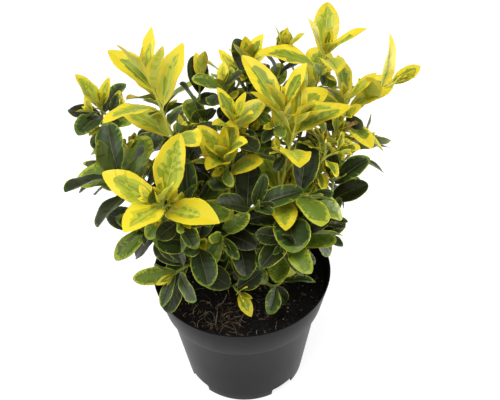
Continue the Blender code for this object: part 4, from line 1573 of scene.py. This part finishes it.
def blank_size(length):
    """Which blank a leaf of this length is cut from."""
    return "long" if length >= LONG_LEAF else "short" if length >= SMALL_BLADE else "small"


def half_outline(leaf, look, along):
    """The half-width of the blade and its stalk at these shares along the leaf."""
    blade = np.clip((along - STALK) / (1 - STALK), 0.0, 1.0)
    wide = leaf.half_width * outline(blade, look.foot_power, look.tip_power)
    stalk = STALK_HALF * min(1.0, leaf.length / STALK_LEAF) * np.clip(1.25 - along * 4, 0.12, 1.0)
    return np.maximum(wide, stalk)


def rough_line(count, amount, dice):
    """A wandering line with small teeth, one value for each row."""
    value, line = dice.gauss(0, amount), []
    for _ in range(count):
        value = ROUGH_CARRY * value + dice.gauss(0, amount)
        line.append(1 + value)
    return np.array(line)


def edges_of_bands(leaf, look, shares, dice):
    """Where the bands meet on both halves, as shares of the half-width, row by row."""
    green = dice.uniform(*look.green)
    depth = dice.uniform(*look.depth)
    reach = dice.uniform(*look.reach)
    fade = np.clip((reach - shares) / max(reach - 0.5, 0.1), 0.0, 1.0) ** look.fade
    half = half_outline(leaf, look, shares)
    rib = RIB_HALF * (1.2 - shares) * (leaf.length / TYPICAL_LEAF) / half
    rib = np.clip(rib, 0.006, 0.25)
    columns = []
    for side in (-1, 1):
        lean = 1 + dice.uniform(-SIDE_LEAN, SIDE_LEAN)
        line = 1 - look.line * rough_line(len(shares), LINE_RAGGED, dice)
        bounds, wide = [np.ones_like(shares), np.clip(line, *LINE_LIMITS)], fade
        for share, (off_rib, off_bound) in zip((green * lean, depth, 0.5), BAND_GAPS):
            wide = wide * share * rough_line(len(shares), look.ragged, dice)
            wide = np.minimum(np.maximum(wide, rib + off_rib), bounds[-1] - off_bound)
            bounds.append(wide)
        columns.append([side * bound for bound in (*bounds, rib)])
    left, right = columns
    return np.stack(left + right[::-1], 1), reach


# %% Shape one leaf
SWEEP = 0.55
EDGE_TOOTH = 0.012
WAVE_COUNT = (1.2, 2.4)
TROUGH_POWER = 1.25
PUFF = 0.05
BLADE_THICK = 0.0005
TWIST = 9


def with_underside(columns, keel):
    """The columns of the upper side, then those of the underside, from right to left."""
    return np.concatenate([columns, columns[:, UNDER_RIGHT], keel, columns[:, UNDER_LEFT]], 1)


def shape_leaf(leaf, look, dice):
    """The corners, their map places, and each face's band for one leaf."""
    shares, faces, bands = BLANKS[blank_size(leaf.length)]
    across, reach = edges_of_bands(leaf, look, shares, dice)
    swept = shares * (1 - shares) * np.clip((shares - STALK) / 0.2, 0.0, 1.0)
    along = shares[:, None] + SWEEP * swept[:, None] * np.abs(across)
    teeth = 1 + EDGE_TOOTH * np.where(np.arange(len(shares)) % 2, 1, -1)
    half = half_outline(leaf, look, along) * teeth[:, None]
    fold = leaf.fold * look.fold
    phase, waves = dice.uniform(0, math.tau), dice.uniform(*WAVE_COUNT)
    wave = look.wave * leaf.length / TYPICAL_LEAF * np.sin(np.pi * np.clip(along, 0.0, 1.0))
    ripple = wave * across**2 * np.sin(math.tau * waves * along + phase + 1.3 * np.sign(across))
    trough = half * np.abs(across) ** TROUGH_POWER * math.sin(fold)
    puff = PUFF * half * np.sin(np.pi * np.abs(across))
    thick = np.where(shares < STALK * 1.2, STALK_HALF, BLADE_THICK * (1.15 - shares))[:, None]
    keel = np.zeros_like(thick)
    along = with_underside(along, shares[:, None])
    spread = with_underside(half * across * math.cos(fold), keel)
    lift = with_underside(trough + ripple + puff, keel)
    lift[:, TOP_COLUMNS:] -= thick * UNDER_DEPTHS
    twist = math.radians(dice.gauss(0, TWIST)) * along
    turned = spread * np.cos(twist) - lift * np.sin(twist)
    lift = spread * np.sin(twist) + lift * np.cos(twist)
    bend = leaf.curl * along
    forward = leaf.length * np.sin(bend) / leaf.curl + lift * np.sin(bend)
    rise = lift * np.cos(bend) - leaf.length * (1 - np.cos(bend)) / leaf.curl
    foot, ahead, face = (np.array(part) for part in (leaf.foot, leaf.ahead, leaf.face))
    side = np.cross(face, ahead)
    points = foot + ahead * forward[..., None] + side * turned[..., None] + face * rise[..., None]
    places = np.stack([(with_underside(across, keel) + 1) / 2, along], 2)
    return points.reshape(-1, 3), places.reshape(-1, 2), faces, bands, shares, reach


# %% Deal out the tints
def dealt_tints(look, bands, shares, reach, dice):
    """A tint number for each face of a leaf: its band's colour, or the streak's on a vein."""
    usual, streak = ([dice.choice(tints[colour]) for colour in part] for part in look.colours())
    rib = dice.choice(tints[look.rib])
    under, keel, keel_streak = (dice.choice(tints[colour]) for colour in look.under.split())
    on_streak = [[dice.random() < look.streaks for _ in shares] for _ in range(2)]
    dealt = []
    for band, row, right in bands:
        along = (shares[row] + shares[row + 1]) / 2
        if band == "under":
            dealt.append(under)
        elif band == "keel":
            middle = keel_streak if on_streak[right][row] else keel
            dealt.append(middle if along < reach else under)
        elif along < STALK or (band == HALF_BANDS and along < reach):
            dealt.append(rib)
        elif along > reach:
            dealt.append(usual[min(band, 1)])
        else:
            dealt.append(streak[band] if on_streak[right][row] else usual[band])
    return dealt


# %% Make the leaves of every mass
def make_leaves(mass):
    """All leaves of a mass as one piece."""
    dice = random.Random(mass.shoot.name + " colours")
    points, places, faces, indices = [], [], [], []
    count = 0
    for leaf in mass.leaves:
        look = look_of(leaf, mass.shoot.gold, dice)
        corners, at, own_faces, *dealing = shape_leaf(leaf, look, dice)
        points.append(corners)
        places.append(at)
        faces.extend(tuple(c + count for c in face) for face in own_faces)
        indices.extend(dealt_tints(look, *dealing, dice))
        count += len(corners)
    points = np.concatenate(points).tolist()
    piece = new_piece("leaves_" + mass.shoot.name, points, faces, leaf_paints, indices)
    chart = piece.data.uv_layers.new(name="blade")
    corner_of_loop = np.zeros(len(piece.data.loops), np.int32)
    piece.data.loops.foreach_get("vertex_index", corner_of_loop)
    chart.data.foreach_set("uv", np.concatenate(places)[corner_of_loop].astype(np.float32).ravel())
    return piece


leaf_faces = 0
for mass in masses:
    leaves = make_leaves(mass)
    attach(leaves, "root")
    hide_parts("foliage_" + mass.shoot.name)
    leaf_faces += len(leaves.data.polygons)
print("leaf faces:", leaf_faces)
